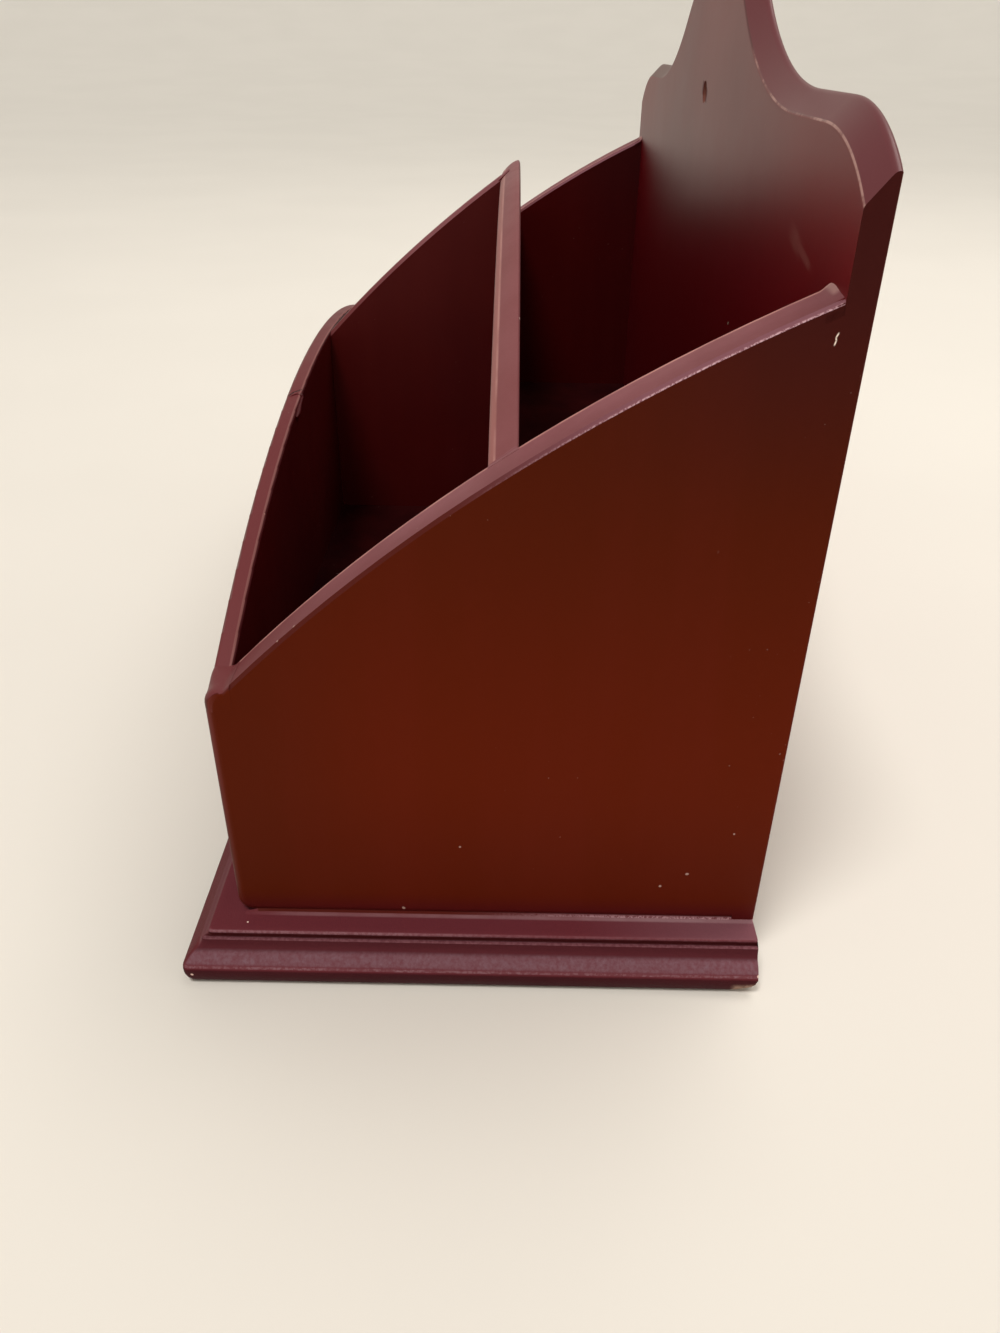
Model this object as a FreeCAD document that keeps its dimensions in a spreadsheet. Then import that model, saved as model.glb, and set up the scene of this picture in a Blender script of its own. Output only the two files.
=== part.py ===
"""Envelope sorter with a drawer, as a FreeCAD document. Millimetres, +Z up, front towards -Y.

A painted wooden case stands on a moulded base. Two end boards with arched top edges carry a
full-width back board with a shaped crest, an arched front panel and an arched divider. A centre
partition splits the front pocket. One shallow drawer slides out under the pocket floor.
"""
import FreeCAD, Part
import math
import os

import Sketcher
from FreeCAD import Vector

SIZES = {
    # case
    "case_width": 267.0,
    "case_depth": 100.5,
    "side_thickness": 9.0,
    "side_front_height": 47.5,
    "side_back_height": 116.3,
    "side_arc_radius": 310.0,
    "side_front_radius": 2.0,
    "side_foot_radius": 3.2,
    "side_outer_bevel": 0.6,
    "side_inner_bevel": 0.7,
    "front_thickness": 3.4,
    "front_rim_radius": 0.6,
    "divider_thickness": 4.8,
    "divider_rim_radius": 0.8,
    "partition_thickness": 3.6,
    "partition_bevel": 0.8,
    "front_pocket_depth": 44.8,
    "arch_rise": 28.0,
    "floor_thickness": 4.0,
    # back board and its crest
    "back_thickness": 4.3,
    "ledge_height": 139.2,
    "shoulder_drop": 7.8,
    "shoulder_run": 26.6,
    "ledge_run": 17.8,
    "crest_sweep_radius": 90.0,
    "crown_height": 166.0,
    "crest_bevel": 3.4,
    "hanging_hole_radius": 2.2,
    "hanging_hole_height": 135.3,
    # base
    "base_thickness": 9.6,
    "base_reach": 9.5,
    "base_corner_radius": 2.4,
    "base_ledge": 4.6,
    "base_ledge_radius": 0.5,
    "base_step": 1.0,
    "base_quirk": 1.5,
    "base_cove_reach": 0.8,
    "base_cove_drop": 2.2,
    "base_cove_radius": 2.2,
    "base_nose_drop": 6.2,
    "base_nose_radius": 5.0,
    "base_foot_height": 3.0,
    "base_foot_inset": 1.2,
    "base_foot_radius": 4.0,
    # drawer
    "drawer_opening_height": 26.0,
    "drawer_gap": 0.5,
    "drawer_lift": 0.3,
    "drawer_back_gap": 1.0,
    "drawer_front_thickness": 8.0,
    "drawer_front_rim": 0.8,
    "drawer_side_thickness": 5.0,
    "drawer_side_drop": 2.0,
    "drawer_rabbet": 5.0,
    "drawer_bottom_thickness": 2.5,
    "drawer_bottom_height": 3.0,
    "drawer_groove": 2.0,
    "drawer_panel_play": 0.1,
    # knob and its screw
    "knob_reach": 14.0,
    "knob_head_radius": 7.0,
    "knob_rim_place": 11.8,
    "knob_rim_width": 1.8,
    "knob_crown_radius": 5.2,
    "knob_crown_place": 13.3,
    "knob_face_radius": 3.0,
    "knob_neck_radius": 3.2,
    "knob_neck_place": 5.0,
    "knob_flange_radius": 4.8,
    "knob_flange_thickness": 1.4,
    "knob_bore_depth": 8.0,
    "knob_screw_radius": 1.75,
    "knob_screw_head_radius": 3.6,
    "knob_screw_head_height": 2.2,
    "knob_screw_bevel": 0.8,
    "knob_screw_play": 0.1,
    # square brads and wood screws
    "brad_width": 1.1,
    "brad_length": 18.0,
    "brad_play": 0.05,
    "brad_set": 1.0,
    "brad_margin": 14.0,
    "back_brad_length": 16.0,
    "partition_brad_length": 12.0,
    "drawer_brad_length": 14.0,
    "screw_radius": 1.75,
    "screw_head_radius": 3.4,
    "screw_length": 25.0,
    "screw_recess": 0.3,
    "screw_play": 0.05,
    "screw_slot_width": 1.0,
    "screw_slot_length": 3.6,
    "screw_slot_depth": 0.9,
    "screw_end_margin": 18.0,
}

doc = FreeCAD.newDocument("EnvelopeSorter")
sheet = doc.addObject("Spreadsheet::Sheet", "Sizes")


# ---------------------------------------------------------------- sizes and formulas

class Size:
    """A number that also carries its formula over the sheet's cells."""

    def __init__(self, value, formula):
        self.value = value
        self.formula = formula

    def __add__(self, other):
        return Size(self.value + number(other), f"({self.formula} + {formula(other)})")

    def __radd__(self, other):
        return Size(number(other) + self.value, f"({formula(other)} + {self.formula})")

    def __sub__(self, other):
        return Size(self.value - number(other), f"({self.formula} - {formula(other)})")

    def __rsub__(self, other):
        return Size(number(other) - self.value, f"({formula(other)} - {self.formula})")

    def __mul__(self, other):
        return Size(self.value * number(other), f"({self.formula} * {formula(other)})")

    def __rmul__(self, other):
        return self * other

    def __truediv__(self, other):
        return Size(self.value / number(other), f"({self.formula} / {formula(other)})")

    def __neg__(self):
        return self * -1


def number(item):
    return item.value if isinstance(item, Size) else float(item)


def formula(item):
    return item.formula if isinstance(item, Size) else f"({item})"


def root(size):
    return Size(math.sqrt(size.value), f"sqrt({size.formula})")


def larger(first, second):
    return Size(max(first.value, second.value), f"max({first.formula}; {second.formula})")


def fill_sheet():
    """Write every driving size to a cell of the sheet, with its alias."""
    for row, (alias, value) in enumerate(SIZES.items(), start=1):
        sheet.set(f"A{row}", alias)
        sheet.set(f"B{row}", str(value))
        sheet.setAlias(f"B{row}", alias)
    doc.recompute()


def size(alias):
    return Size(SIZES[alias], f"Sizes.{alias}")


# ---------------------------------------------------------------- sketches and features

def new_body(label):
    body = doc.addObject("PartDesign::Body", label)
    body.Label = label
    return body


def new_sketch(body, role, shift=(0, 0, 0)):
    """A sketch on one of the body's own origin planes, its origin shifted by three sizes."""
    sketch = body.newObject("Sketcher::SketchObject", "Sketch")
    plane = next(item for item in body.Origin.OriginFeatures if item.Role == role)
    sketch.AttachmentSupport = [(plane, "")]
    sketch.MapMode = "FlatFace"
    for axis, distance in zip("xyz", shift):
        if isinstance(distance, Size):
            sketch.setExpression(f"AttachmentOffset.Base.{axis}", distance.formula)
    return sketch


def bind_constraint(sketch, size_value, *place):
    """Add a dimension of the sketch and bind it to its formula."""
    index = sketch.addConstraint(Sketcher.Constraint(*place, number(size_value)))
    if isinstance(size_value, Size):
        sketch.setExpression(f"Constraints[{index}]", size_value.formula)


def pin_point(sketch, geometry, end, across, up):
    """Fix a point of the sketch at its distance across and up from the sketch's origin."""
    origin, horizontal_axis, vertical_axis = (-1, 1), -1, -2
    if number(across) == 0:
        sketch.addConstraint(Sketcher.Constraint("PointOnObject", geometry, end, vertical_axis))
    else:
        bind_constraint(sketch, across, "DistanceX", *origin, geometry, end)
    if number(up) == 0:
        sketch.addConstraint(Sketcher.Constraint("PointOnObject", geometry, end, horizontal_axis))
    else:
        bind_constraint(sketch, up, "DistanceY", *origin, geometry, end)


def arc_between(first, last, radius):
    """The short arc from first to last: radius above 0 turns left, below 0 turns right."""
    chord = last - first
    left = Vector(-chord.y, chord.x, 0).normalize()
    reach = math.sqrt(radius ** 2 - (chord.Length / 2) ** 2)
    centre = first + chord / 2 + left * math.copysign(reach, radius)
    circle = Part.Circle(centre, Vector(0, 0, 1), abs(radius))
    start, stop = (first, last) if radius > 0 else (last, first)
    angles = [math.atan2(point.y - centre.y, point.x - centre.x) for point in (start, stop)]
    return Part.ArcOfCircle(circle, angles[0], angles[1])


def draw_outline(sketch, corners):
    """Draw a closed outline through corners (across, up), anticlockwise.

    A corner with a third item is reached by an arc of that radius, as arc_between takes it.
    """
    ends = []
    previous = corners[-1]
    for corner in corners:
        first = Vector(number(previous[0]), number(previous[1]), 0)
        last = Vector(number(corner[0]), number(corner[1]), 0)
        if len(corner) == 3:
            radius = corner[2]
            index = sketch.addGeometry(arc_between(first, last, number(radius)))
            bend = radius if number(radius) > 0 else -radius
            bind_constraint(sketch, bend, "Radius", index)
            ends.append((index, 1, 2) if number(radius) > 0 else (index, 2, 1))
        else:
            index = sketch.addGeometry(Part.LineSegment(first, last))
            ends.append((index, 1, 2))
        previous = corner
    for place, corner in enumerate(corners):
        index, _, stop = ends[place]
        next_index, next_start, _ = ends[(place + 1) % len(ends)]
        sketch.addConstraint(Sketcher.Constraint("Coincident", index, stop, next_index, next_start))
        pin_point(sketch, index, stop, corner[0], corner[1])


def draw_circle(sketch, across, up, radius):
    centre = Vector(number(across), number(up), 0)
    index = sketch.addGeometry(Part.Circle(centre, Vector(0, 0, 1), number(radius)))
    bind_constraint(sketch, radius, "Radius", index)
    pin_point(sketch, index, 3, across, up)


def add_pad(body, sketch, length, reverse=False, both_ways=False):
    pad = body.newObject("PartDesign::Pad", "Pad")
    pad.Profile = sketch
    pad.Reversed = reverse
    pad.Midplane = both_ways
    pad.setExpression("Length", length.formula)
    doc.recompute()
    return pad


def add_pocket(body, sketch, length, reverse=False, both_ways=False):
    """Cut the sketch from the body, and stop if nothing was cut."""
    before = body.Shape.Volume
    pocket = body.newObject("PartDesign::Pocket", "Pocket")
    pocket.Profile = sketch
    pocket.Reversed = reverse
    pocket.Midplane = both_ways
    pocket.setExpression("Length", length.formula)
    doc.recompute()
    if body.Shape.Volume > before - 1e-6:
        raise RuntimeError(f"the pocket in {body.Label} cut nothing")
    return pocket


def pick_edges(feature, wanted):
    edges = feature.Shape.Edges
    names = [f"Edge{place}" for place, edge in enumerate(edges, start=1) if wanted(edge)]
    if not names:
        raise RuntimeError(f"no edge found on {feature.Label}")
    return names


def lies_at(edge, axis, distance):
    """True where the whole edge lies in the plane at this distance along the axis X, Y or Z."""
    box = edge.BoundBox
    low, high = getattr(box, f"{axis}Min"), getattr(box, f"{axis}Max")
    return abs(low - number(distance)) < 0.01 and abs(high - number(distance)) < 0.01


def add_fillet(body, edges, radius):
    fillet = body.newObject("PartDesign::Fillet", "Fillet")
    fillet.Base = (body_tip_before(body, fillet), edges)
    fillet.setExpression("Radius", radius.formula)
    doc.recompute()
    return fillet


def add_chamfer(body, edges, width):
    chamfer = body.newObject("PartDesign::Chamfer", "Chamfer")
    chamfer.Base = (body_tip_before(body, chamfer), edges)
    chamfer.setExpression("Size", width.formula)
    doc.recompute()
    return chamfer


def body_tip_before(body, feature):
    """The solid feature that the new feature of the body is made on."""
    solids = [item for item in body.Group if item.isDerivedFrom("PartDesign::Feature")]
    return solids[solids.index(feature) - 1]


# ---------------------------------------------------------------- primitives, groups and cuts

def primitive(kind, lengths, point):
    """A Part primitive at a point, its lengths and its place bound to their formulas."""
    item = doc.addObject(f"Part::{kind}", kind)
    for name, length in lengths.items():
        item.setExpression(name, length.formula)
    for axis, distance in zip("xyz", point):
        if isinstance(distance, Size):
            item.setExpression(f"Placement.Base.{axis}", distance.formula)
    return item


def group(label, items):
    compound = doc.addObject("Part::Compound", label)
    compound.Label = label
    compound.Links = items
    return compound


def fuse(items):
    fusion = doc.addObject("Part::MultiFuse", "Fusion")
    fusion.Shapes = items
    return fusion


def cut(label, base, tool):
    result = doc.addObject("Part::Cut", label)
    result.Label = label
    result.Base = base
    result.Tool = tool
    return result


# ---------------------------------------------------------------- places that pieces share

fill_sheet()

half_width = size("case_width") / 2
inner_half = half_width - size("side_thickness")
front = (larger(size("knob_reach"), size("base_reach")) - size("case_depth")) / 2
back = front + size("case_depth")
back_joint = back - size("back_thickness")
front_joint = front + size("front_thickness")
divider_front = front_joint + size("front_pocket_depth")
divider_back = divider_front + size("divider_thickness")
base_top = size("base_thickness")
floor_underside = base_top + size("drawer_opening_height")
floor_top = floor_underside + size("floor_thickness")
floor_middle = floor_underside + size("floor_thickness") / 2
side_middle = half_width - size("side_thickness") / 2

# the arc of the end boards' top edge, from its two ends and its radius
side_arc_run = back_joint - front
side_arc_lift = size("side_back_height") - size("side_front_height")
side_arc_chord = root(side_arc_run * side_arc_run + side_arc_lift * side_arc_lift)
side_arc_reach = root(
    size("side_arc_radius") * size("side_arc_radius") - side_arc_chord * side_arc_chord / 4
)
side_arc_y = front + side_arc_run / 2 + side_arc_lift * side_arc_reach / side_arc_chord
side_arc_z = (
    base_top
    + (size("side_front_height") + size("side_back_height")) / 2
    - side_arc_run * side_arc_reach / side_arc_chord
)


def side_height_at(y):
    """Height of the end boards' top edge at this place along the depth."""
    run = y - side_arc_y
    return side_arc_z + root(size("side_arc_radius") * size("side_arc_radius") - run * run)


front_end_height = side_height_at(front_joint)
divider_end_height = side_height_at(divider_front + size("divider_thickness") / 2)
arch_radius = (inner_half * inner_half + size("arch_rise") * size("arch_rise")) / (
    size("arch_rise") * 2
)

drawer_half = inner_half - size("drawer_gap")
drawer_inner_half = drawer_half - size("drawer_side_thickness")
drawer_floor = base_top + size("drawer_lift")
drawer_top = floor_underside - size("drawer_gap")
drawer_side_top = drawer_top - size("drawer_side_drop")
drawer_front_back = front + size("drawer_front_thickness")
drawer_side_front = drawer_front_back - size("drawer_rabbet")
drawer_back = back_joint - size("drawer_back_gap")
drawer_back_front = drawer_back - size("drawer_side_thickness")
groove_low = drawer_floor + size("drawer_bottom_height")
groove_high = groove_low + size("drawer_bottom_thickness")
knob_height = (drawer_floor + drawer_top) / 2


# ---------------------------------------------------------------- base

def moulding():
    """The base's edge moulding, from its foot up: distance out from the case, and height."""
    quirk = size("base_ledge") + size("base_quirk")
    step = base_top - size("base_step")
    return [
        (size("base_reach") - size("base_foot_inset"), 0),
        (size("base_reach"), size("base_foot_height"), size("base_foot_radius")),
        (size("base_reach"), base_top - size("base_nose_drop")),
        (quirk + size("base_cove_reach"), step - size("base_cove_drop"), size("base_nose_radius")),
        (quirk, step, -size("base_cove_radius")),
        (size("base_ledge"), step),
        (size("base_ledge"), base_top - size("base_ledge_radius")),
        (size("base_ledge") - size("base_ledge_radius"), base_top, size("base_ledge_radius")),
    ]


def turned_back(corners):
    """The same run of corners in the opposite order, each arc kept between its two ends."""
    radii = [corner[2:] for corner in corners[1:]] + [()]
    return [corner[:2] + radius for corner, radius in zip(corners, radii)][::-1]


def make_base_blank():
    """Two prisms with the moulding on their edges and a plan: what they share is the base."""
    right = [(half_width + out, up, *bend) for out, up, *bend in moulding()]
    left = [(-half_width - out, up, *bend) for out, up, *bend in turned_back(moulding())]
    ends = new_body("base_ends")
    sketch = new_sketch(ends, "XZ_Plane", (0, 0, -back))
    draw_outline(sketch, right + left)
    add_pad(ends, sketch, size("case_depth") + size("base_reach"))

    near = [(front - out, up, *bend) for out, up, *bend in turned_back(moulding())]
    nose = new_body("base_front")
    sketch = new_sketch(nose, "YZ_Plane")
    draw_outline(sketch, [(back, 0), (back, base_top)] + near)
    add_pad(nose, sketch, size("case_width") + size("base_reach") * 2, both_ways=True)

    plan = new_body("base_plan")
    sketch = new_sketch(plan, "XY_Plane")
    side, near = half_width + size("base_reach"), front - size("base_reach")
    bend = size("base_corner_radius")
    draw_outline(sketch, [
        (-side, near + bend),
        (bend - side, near, bend),
        (side - bend, near),
        (side, near + bend, bend),
        (side, back),
        (-side, back),
    ])
    add_pad(plan, sketch, base_top)

    shared = doc.addObject("Part::MultiCommon", "base_blank")
    shared.Shapes = [ends, nose, plan]
    return shared


# ---------------------------------------------------------------- boards of the case

def is_round(edge):
    return edge.Curve.TypeId == "Part::GeomCircle"


def is_arc(edge, radius):
    return is_round(edge) and abs(edge.Curve.Radius - number(radius)) < 0.01


def make_side_blank(label, hand):
    """An end board with rounded edges at its front: hand is 1 on the right, -1 on the left."""
    foot = size("side_foot_radius")
    body = new_body(label)
    inner, outer = inner_half * hand, half_width * hand
    sketch = new_sketch(body, "YZ_Plane", (0, 0, inner))
    draw_outline(sketch, [
        (front + foot, base_top, foot),
        (back, base_top),
        (back, side_height_at(back)),
        (front, side_height_at(front), size("side_arc_radius")),
        (front, base_top + foot),
    ])
    pad = add_pad(body, sketch, size("side_thickness"), reverse=hand < 0)

    def is_front_edge(edge, face):
        return lies_at(edge, "X", face) and lies_at(edge, "Y", front)

    def is_top_edge(edge, face):
        return lies_at(edge, "X", face) and is_arc(edge, size("side_arc_radius"))

    edges = pick_edges(pad, lambda edge: is_front_edge(edge, outer))
    rounded = add_fillet(body, edges, size("side_front_radius"))
    edges = pick_edges(rounded, lambda edge: is_top_edge(edge, outer))
    rounded = add_chamfer(body, edges, size("side_outer_bevel"))
    edges = pick_edges(rounded, lambda edge: is_top_edge(edge, inner))
    add_chamfer(body, edges, size("side_inner_bevel"))
    # the rounded blank is longer than the board, and is cut off square at the back board
    waste = new_sketch(body, "YZ_Plane", (0, 0, inner))
    draw_outline(waste, [
        (back_joint, base_top),
        (back, base_top),
        (back, side_height_at(back)),
        (back_joint, side_height_at(back)),
    ])
    add_pocket(body, waste, size("side_thickness"), reverse=hand > 0)
    return body


def make_arched_board(label, near_face, thickness, bottom, end_height, rim_radius):
    """A board across the case with an arched top edge, between the end boards."""
    body = new_body(label)
    sketch = new_sketch(body, "XZ_Plane", (0, 0, -near_face))
    draw_outline(sketch, [
        (-inner_half, bottom),
        (inner_half, bottom),
        (inner_half, end_height),
        (-inner_half, end_height, arch_radius),
    ])
    pad = add_pad(body, sketch, thickness, reverse=True)
    add_fillet(body, pick_edges(pad, is_round), rim_radius)
    return body


def make_partition_blank():
    """The board that splits the front pocket; its top edge follows the end boards' arc."""
    body = new_body("centre_partition_blank")
    sketch = new_sketch(body, "YZ_Plane")
    draw_outline(sketch, [
        (front_joint, floor_top),
        (divider_front, floor_top),
        (divider_front, side_height_at(divider_front) + size("arch_rise")),
        (front_joint, front_end_height + size("arch_rise"), size("side_arc_radius")),
    ])
    pad = add_pad(body, sketch, size("partition_thickness"), both_ways=True)
    add_chamfer(body, pick_edges(pad, is_round), size("partition_bevel"))
    return body


def make_back_blank():
    """The back board: shoulders, level ledges, sweeps up to a round crown, and a front bevel."""
    ledge = base_top + size("ledge_height")
    ledge_outer = half_width - size("shoulder_run")
    ledge_inner = ledge_outer - size("ledge_run")
    run, drop = size("shoulder_run"), size("shoulder_drop")
    shoulder_radius = (run * run + drop * drop) / (drop * 2)
    sweep = size("crest_sweep_radius")
    rise = size("crown_height") - size("ledge_height")
    below = sweep - rise
    crown_radius = (ledge_inner * ledge_inner + below * below - sweep * sweep) / (rise * 2)
    share = crown_radius / (sweep + crown_radius)
    turn_across = ledge_inner * share
    turn_up = (
        base_top + size("crown_height") - crown_radius + (below + crown_radius) * share
    )
    body = new_body("back_board_blank")
    sketch = new_sketch(body, "XZ_Plane", (0, 0, -back_joint))
    draw_outline(sketch, [
        (-half_width, base_top),
        (half_width, base_top),
        (half_width, ledge - drop),
        (ledge_outer, ledge, shoulder_radius),
        (ledge_inner, ledge),
        (turn_across, turn_up, -sweep),
        (-turn_across, turn_up, crown_radius),
        (-ledge_inner, ledge, -sweep),
        (-ledge_outer, ledge),
        (-half_width, ledge - drop, shoulder_radius),
    ])
    pad = add_pad(body, sketch, size("back_thickness"), reverse=True)
    crest_low = number(ledge - drop) - 0.01
    crest = pick_edges(
        pad, lambda edge: lies_at(edge, "Y", back_joint) and edge.BoundBox.ZMin > crest_low
    )
    add_chamfer(body, crest, size("crest_bevel"))
    sketch = new_sketch(body, "XZ_Plane", (0, 0, -back_joint))
    draw_circle(
        sketch, 0, base_top + size("hanging_hole_height"), size("hanging_hole_radius")
    )
    add_pocket(body, sketch, size("back_thickness"))
    return body


def make_floor_blank():
    return primitive(
        "Box",
        {
            "Length": inner_half * 2,
            "Width": back_joint - front_joint,
            "Height": size("floor_thickness"),
        },
        (-inner_half, front_joint, floor_underside),
    )


# ---------------------------------------------------------------- drawer

def make_drawer_front():
    """The drawer front: rabbets at its ends for the sides, a groove for the bottom, a bore."""
    body = new_body("drawer_front_blank")
    sketch = new_sketch(body, "XY_Plane", (0, 0, drawer_floor))
    draw_outline(sketch, [
        (-drawer_half, front),
        (drawer_half, front),
        (drawer_half, drawer_side_front),
        (drawer_inner_half, drawer_side_front),
        (drawer_inner_half, drawer_front_back),
        (-drawer_inner_half, drawer_front_back),
        (-drawer_inner_half, drawer_side_front),
        (-drawer_half, drawer_side_front),
    ])
    pad = add_pad(body, sketch, drawer_top - drawer_floor)
    add_fillet(
        body, pick_edges(pad, lambda edge: lies_at(edge, "Y", front)), size("drawer_front_rim")
    )
    sketch = new_sketch(body, "XZ_Plane", (0, 0, -drawer_front_back))
    draw_outline(sketch, [
        (-drawer_inner_half, groove_low),
        (drawer_inner_half, groove_low),
        (drawer_inner_half, groove_high),
        (-drawer_inner_half, groove_high),
    ])
    add_pocket(body, sketch, size("drawer_groove"), reverse=True)
    sketch = new_sketch(body, "XZ_Plane", (0, 0, -drawer_front_back))
    draw_circle(sketch, 0, knob_height, size("knob_screw_radius") + size("knob_screw_play"))
    add_pocket(body, sketch, size("drawer_front_thickness"), reverse=True)
    return body


def make_drawer_side(label, hand):
    """A drawer side with the groove that holds the bottom: hand is 1 right, -1 left."""
    body = new_body(label)
    inner = drawer_inner_half * hand
    sketch = new_sketch(body, "YZ_Plane", (0, 0, inner))
    draw_outline(sketch, [
        (drawer_side_front, drawer_floor),
        (drawer_back, drawer_floor),
        (drawer_back, drawer_side_top),
        (drawer_side_front, drawer_side_top),
    ])
    add_pad(body, sketch, size("drawer_side_thickness"), reverse=hand < 0)
    sketch = new_sketch(body, "YZ_Plane", (0, 0, inner))
    draw_outline(sketch, [
        (drawer_side_front, groove_low),
        (drawer_back, groove_low),
        (drawer_back, groove_high),
        (drawer_side_front, groove_high),
    ])
    add_pocket(body, sketch, size("drawer_groove"), reverse=hand > 0)
    return body


def make_drawer_back():
    return primitive(
        "Box",
        {
            "Length": drawer_inner_half * 2,
            "Width": size("drawer_side_thickness"),
            "Height": drawer_side_top - groove_high,
        },
        (-drawer_inner_half, drawer_back_front, groove_high),
    )


def make_drawer_bottom():
    """The thin bottom, in the grooves of the front and the sides and under the back."""
    body = new_body("drawer_bottom")
    reach = drawer_inner_half + size("drawer_groove") - size("drawer_panel_play")
    tongue = drawer_inner_half - size("drawer_panel_play")
    tongue_front = drawer_front_back - size("drawer_groove") + size("drawer_panel_play")
    sketch = new_sketch(body, "XY_Plane", (0, 0, groove_low))
    draw_outline(sketch, [
        (-tongue, tongue_front),
        (tongue, tongue_front),
        (tongue, drawer_front_back),
        (reach, drawer_front_back),
        (reach, drawer_back),
        (-reach, drawer_back),
        (-reach, drawer_front_back),
        (-tongue, drawer_front_back),
    ])
    add_pad(body, sketch, size("drawer_bottom_thickness"))
    return body


def add_turning(body, sketch):
    """Turn the sketch all the way round its horizontal axis."""
    turning = body.newObject("PartDesign::Revolution", "Revolution")
    turning.Profile = sketch
    turning.ReferenceAxis = (sketch, ["H_Axis"])
    turning.Angle = 360
    doc.recompute()


def make_knob():
    """A turned knob with a flared neck and a bevelled face, and a blind bore for its screw."""
    body = new_body("knob")
    sketch = new_sketch(body, "YZ_Plane", (front, knob_height, 0))
    bore = size("knob_screw_radius")
    flange = size("knob_flange_thickness")
    rim = size("knob_rim_place")
    draw_outline(sketch, [
        (-size("knob_bore_depth"), 0),
        (-size("knob_bore_depth"), bore),
        (0, bore),
        (0, size("knob_flange_radius")),
        (-flange, size("knob_flange_radius")),
        (-flange, size("knob_neck_radius")),
        (-size("knob_neck_place"), size("knob_neck_radius")),
        (size("knob_rim_width") - rim, size("knob_head_radius")),
        (-rim, size("knob_head_radius")),
        (-size("knob_crown_place"), size("knob_crown_radius")),
        (-size("knob_reach"), size("knob_face_radius")),
        (-size("knob_reach"), 0),
    ])
    add_turning(body, sketch)
    return body


def make_knob_screw():
    """The screw through the drawer front into the knob, its head inside the drawer."""
    body = new_body("knob_screw")
    sketch = new_sketch(body, "YZ_Plane", (drawer_front_back, knob_height, 0))
    shank = size("knob_screw_radius") - size("knob_screw_play")
    reach = size("drawer_front_thickness") + size("knob_bore_depth") - size("knob_screw_play")
    head, bevel = size("knob_screw_head_height"), size("knob_screw_bevel")
    draw_outline(sketch, [
        (-reach, 0),
        (head, 0),
        (head, size("knob_screw_head_radius") - bevel),
        (head - bevel, size("knob_screw_head_radius")),
        (0, size("knob_screw_head_radius")),
        (0, shank),
        (-reach, shank),
    ])
    add_turning(body, sketch)
    return body


# ---------------------------------------------------------------- fasteners

def make_brad(width, length, point, heading):
    """A square brad from the middle of its outer end, driven along the heading."""
    axis = "XY".index(heading[1])
    lengths = [width, width, width]
    lengths[axis] = length
    corner = [distance - width / 2 for distance in point]
    corner[axis] = point[axis] if heading[0] == "+" else point[axis] - length
    return primitive("Box", dict(zip(("Length", "Width", "Height"), lengths)), corner)


def make_brads(label, spots, length, play=0):
    """Brads, each spot a point and a heading; with play they are the holes of those brads."""
    width = size("brad_width") + play * 2
    return group(label, [make_brad(width, length, point, heading) for point, heading in spots])


def side_brad_spots(hand):
    """Through an end board: two into the divider, two into the floor, one into the front."""
    outer = (half_width - size("brad_set")) * hand
    heading = "-X" if hand > 0 else "+X"
    margin = size("brad_margin")
    divider_middle = divider_front + size("divider_thickness") / 2
    places = [
        (divider_middle, floor_top + margin),
        (divider_middle, divider_end_height - margin),
        (front_joint + margin, floor_middle),
        (back_joint - margin, floor_middle),
        (front + size("front_thickness") / 2, floor_top + margin / 2),
    ]
    return [((outer, y, z), heading) for y, z in places]


def back_brad_spots():
    """Through the back board: three into each end board and two into the floor."""
    outer = back - size("brad_set")
    margin = size("brad_margin")
    low, high = base_top + margin, base_top + size("side_back_height") - margin
    spots = []
    for hand in (1, -1):
        spots += [((side_middle * hand, outer, z), "-Y") for z in (low, (low + high) / 2, high)]
        spots.append(((inner_half * hand / 2, outer, floor_middle), "-Y"))
    return spots


def partition_brad_spots():
    """Through the front panel and through the divider into the ends of the partition."""
    margin = size("brad_margin")
    lows = (floor_top + margin, floor_top + margin * 2)
    fronts = [((0, front + size("brad_set"), z), "+Y") for z in lows]
    return fronts + [((0, divider_back - size("brad_set"), z), "-Y") for z in lows]


def drawer_brad_spots():
    """Through the drawer sides: two into the front and two into the back at each side."""
    front_place = drawer_front_back - size("drawer_rabbet") / 2
    back_place = drawer_back - size("drawer_side_thickness") / 2
    span = drawer_side_top - groove_high
    spots = []
    for hand, heading in ((1, "-X"), (-1, "+X")):
        for y in (front_place, back_place):
            for z in (groove_high + span / 4, groove_high + span * 3 / 4):
                spots.append(((drawer_half * hand, y, z), heading))
    return spots


def screw_places():
    """Two under each end board."""
    margin = size("screw_end_margin")
    return [
        (side_middle * hand, y)
        for hand in (1, -1)
        for y in (front + margin, back_joint - margin)
    ]


def screw_solid(x, y, play):
    """A countersunk wood screw, its head down; with play it is that screw's hole, open below."""
    shank = size("screw_radius") + play
    head_high = size("screw_recess") + size("screw_head_radius") - size("screw_radius")
    head_low = 0 if play else size("screw_recess")
    depth = head_high - head_low
    head = {"Radius1": shank + depth, "Radius2": shank, "Height": depth}
    reach = {"Radius": shank, "Height": size("screw_length") - head_high}
    return fuse([
        primitive("Cone", head, (x, y, head_low)),
        primitive("Cylinder", reach, (x, y, head_high)),
    ])


def make_screw(x, y):
    """A wood screw with a cross recess in its head."""
    width, length = size("screw_slot_width"), size("screw_slot_length")
    cross = [
        primitive(
            "Box",
            {"Length": along, "Width": across, "Height": size("screw_slot_depth")},
            (x - along / 2, y - across / 2, size("screw_recess")),
        )
        for along, across in ((length, width), (width, length))
    ]
    return cut("wood_screw", screw_solid(x, y, 0), fuse(cross))


# ---------------------------------------------------------------- the assembly

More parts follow.
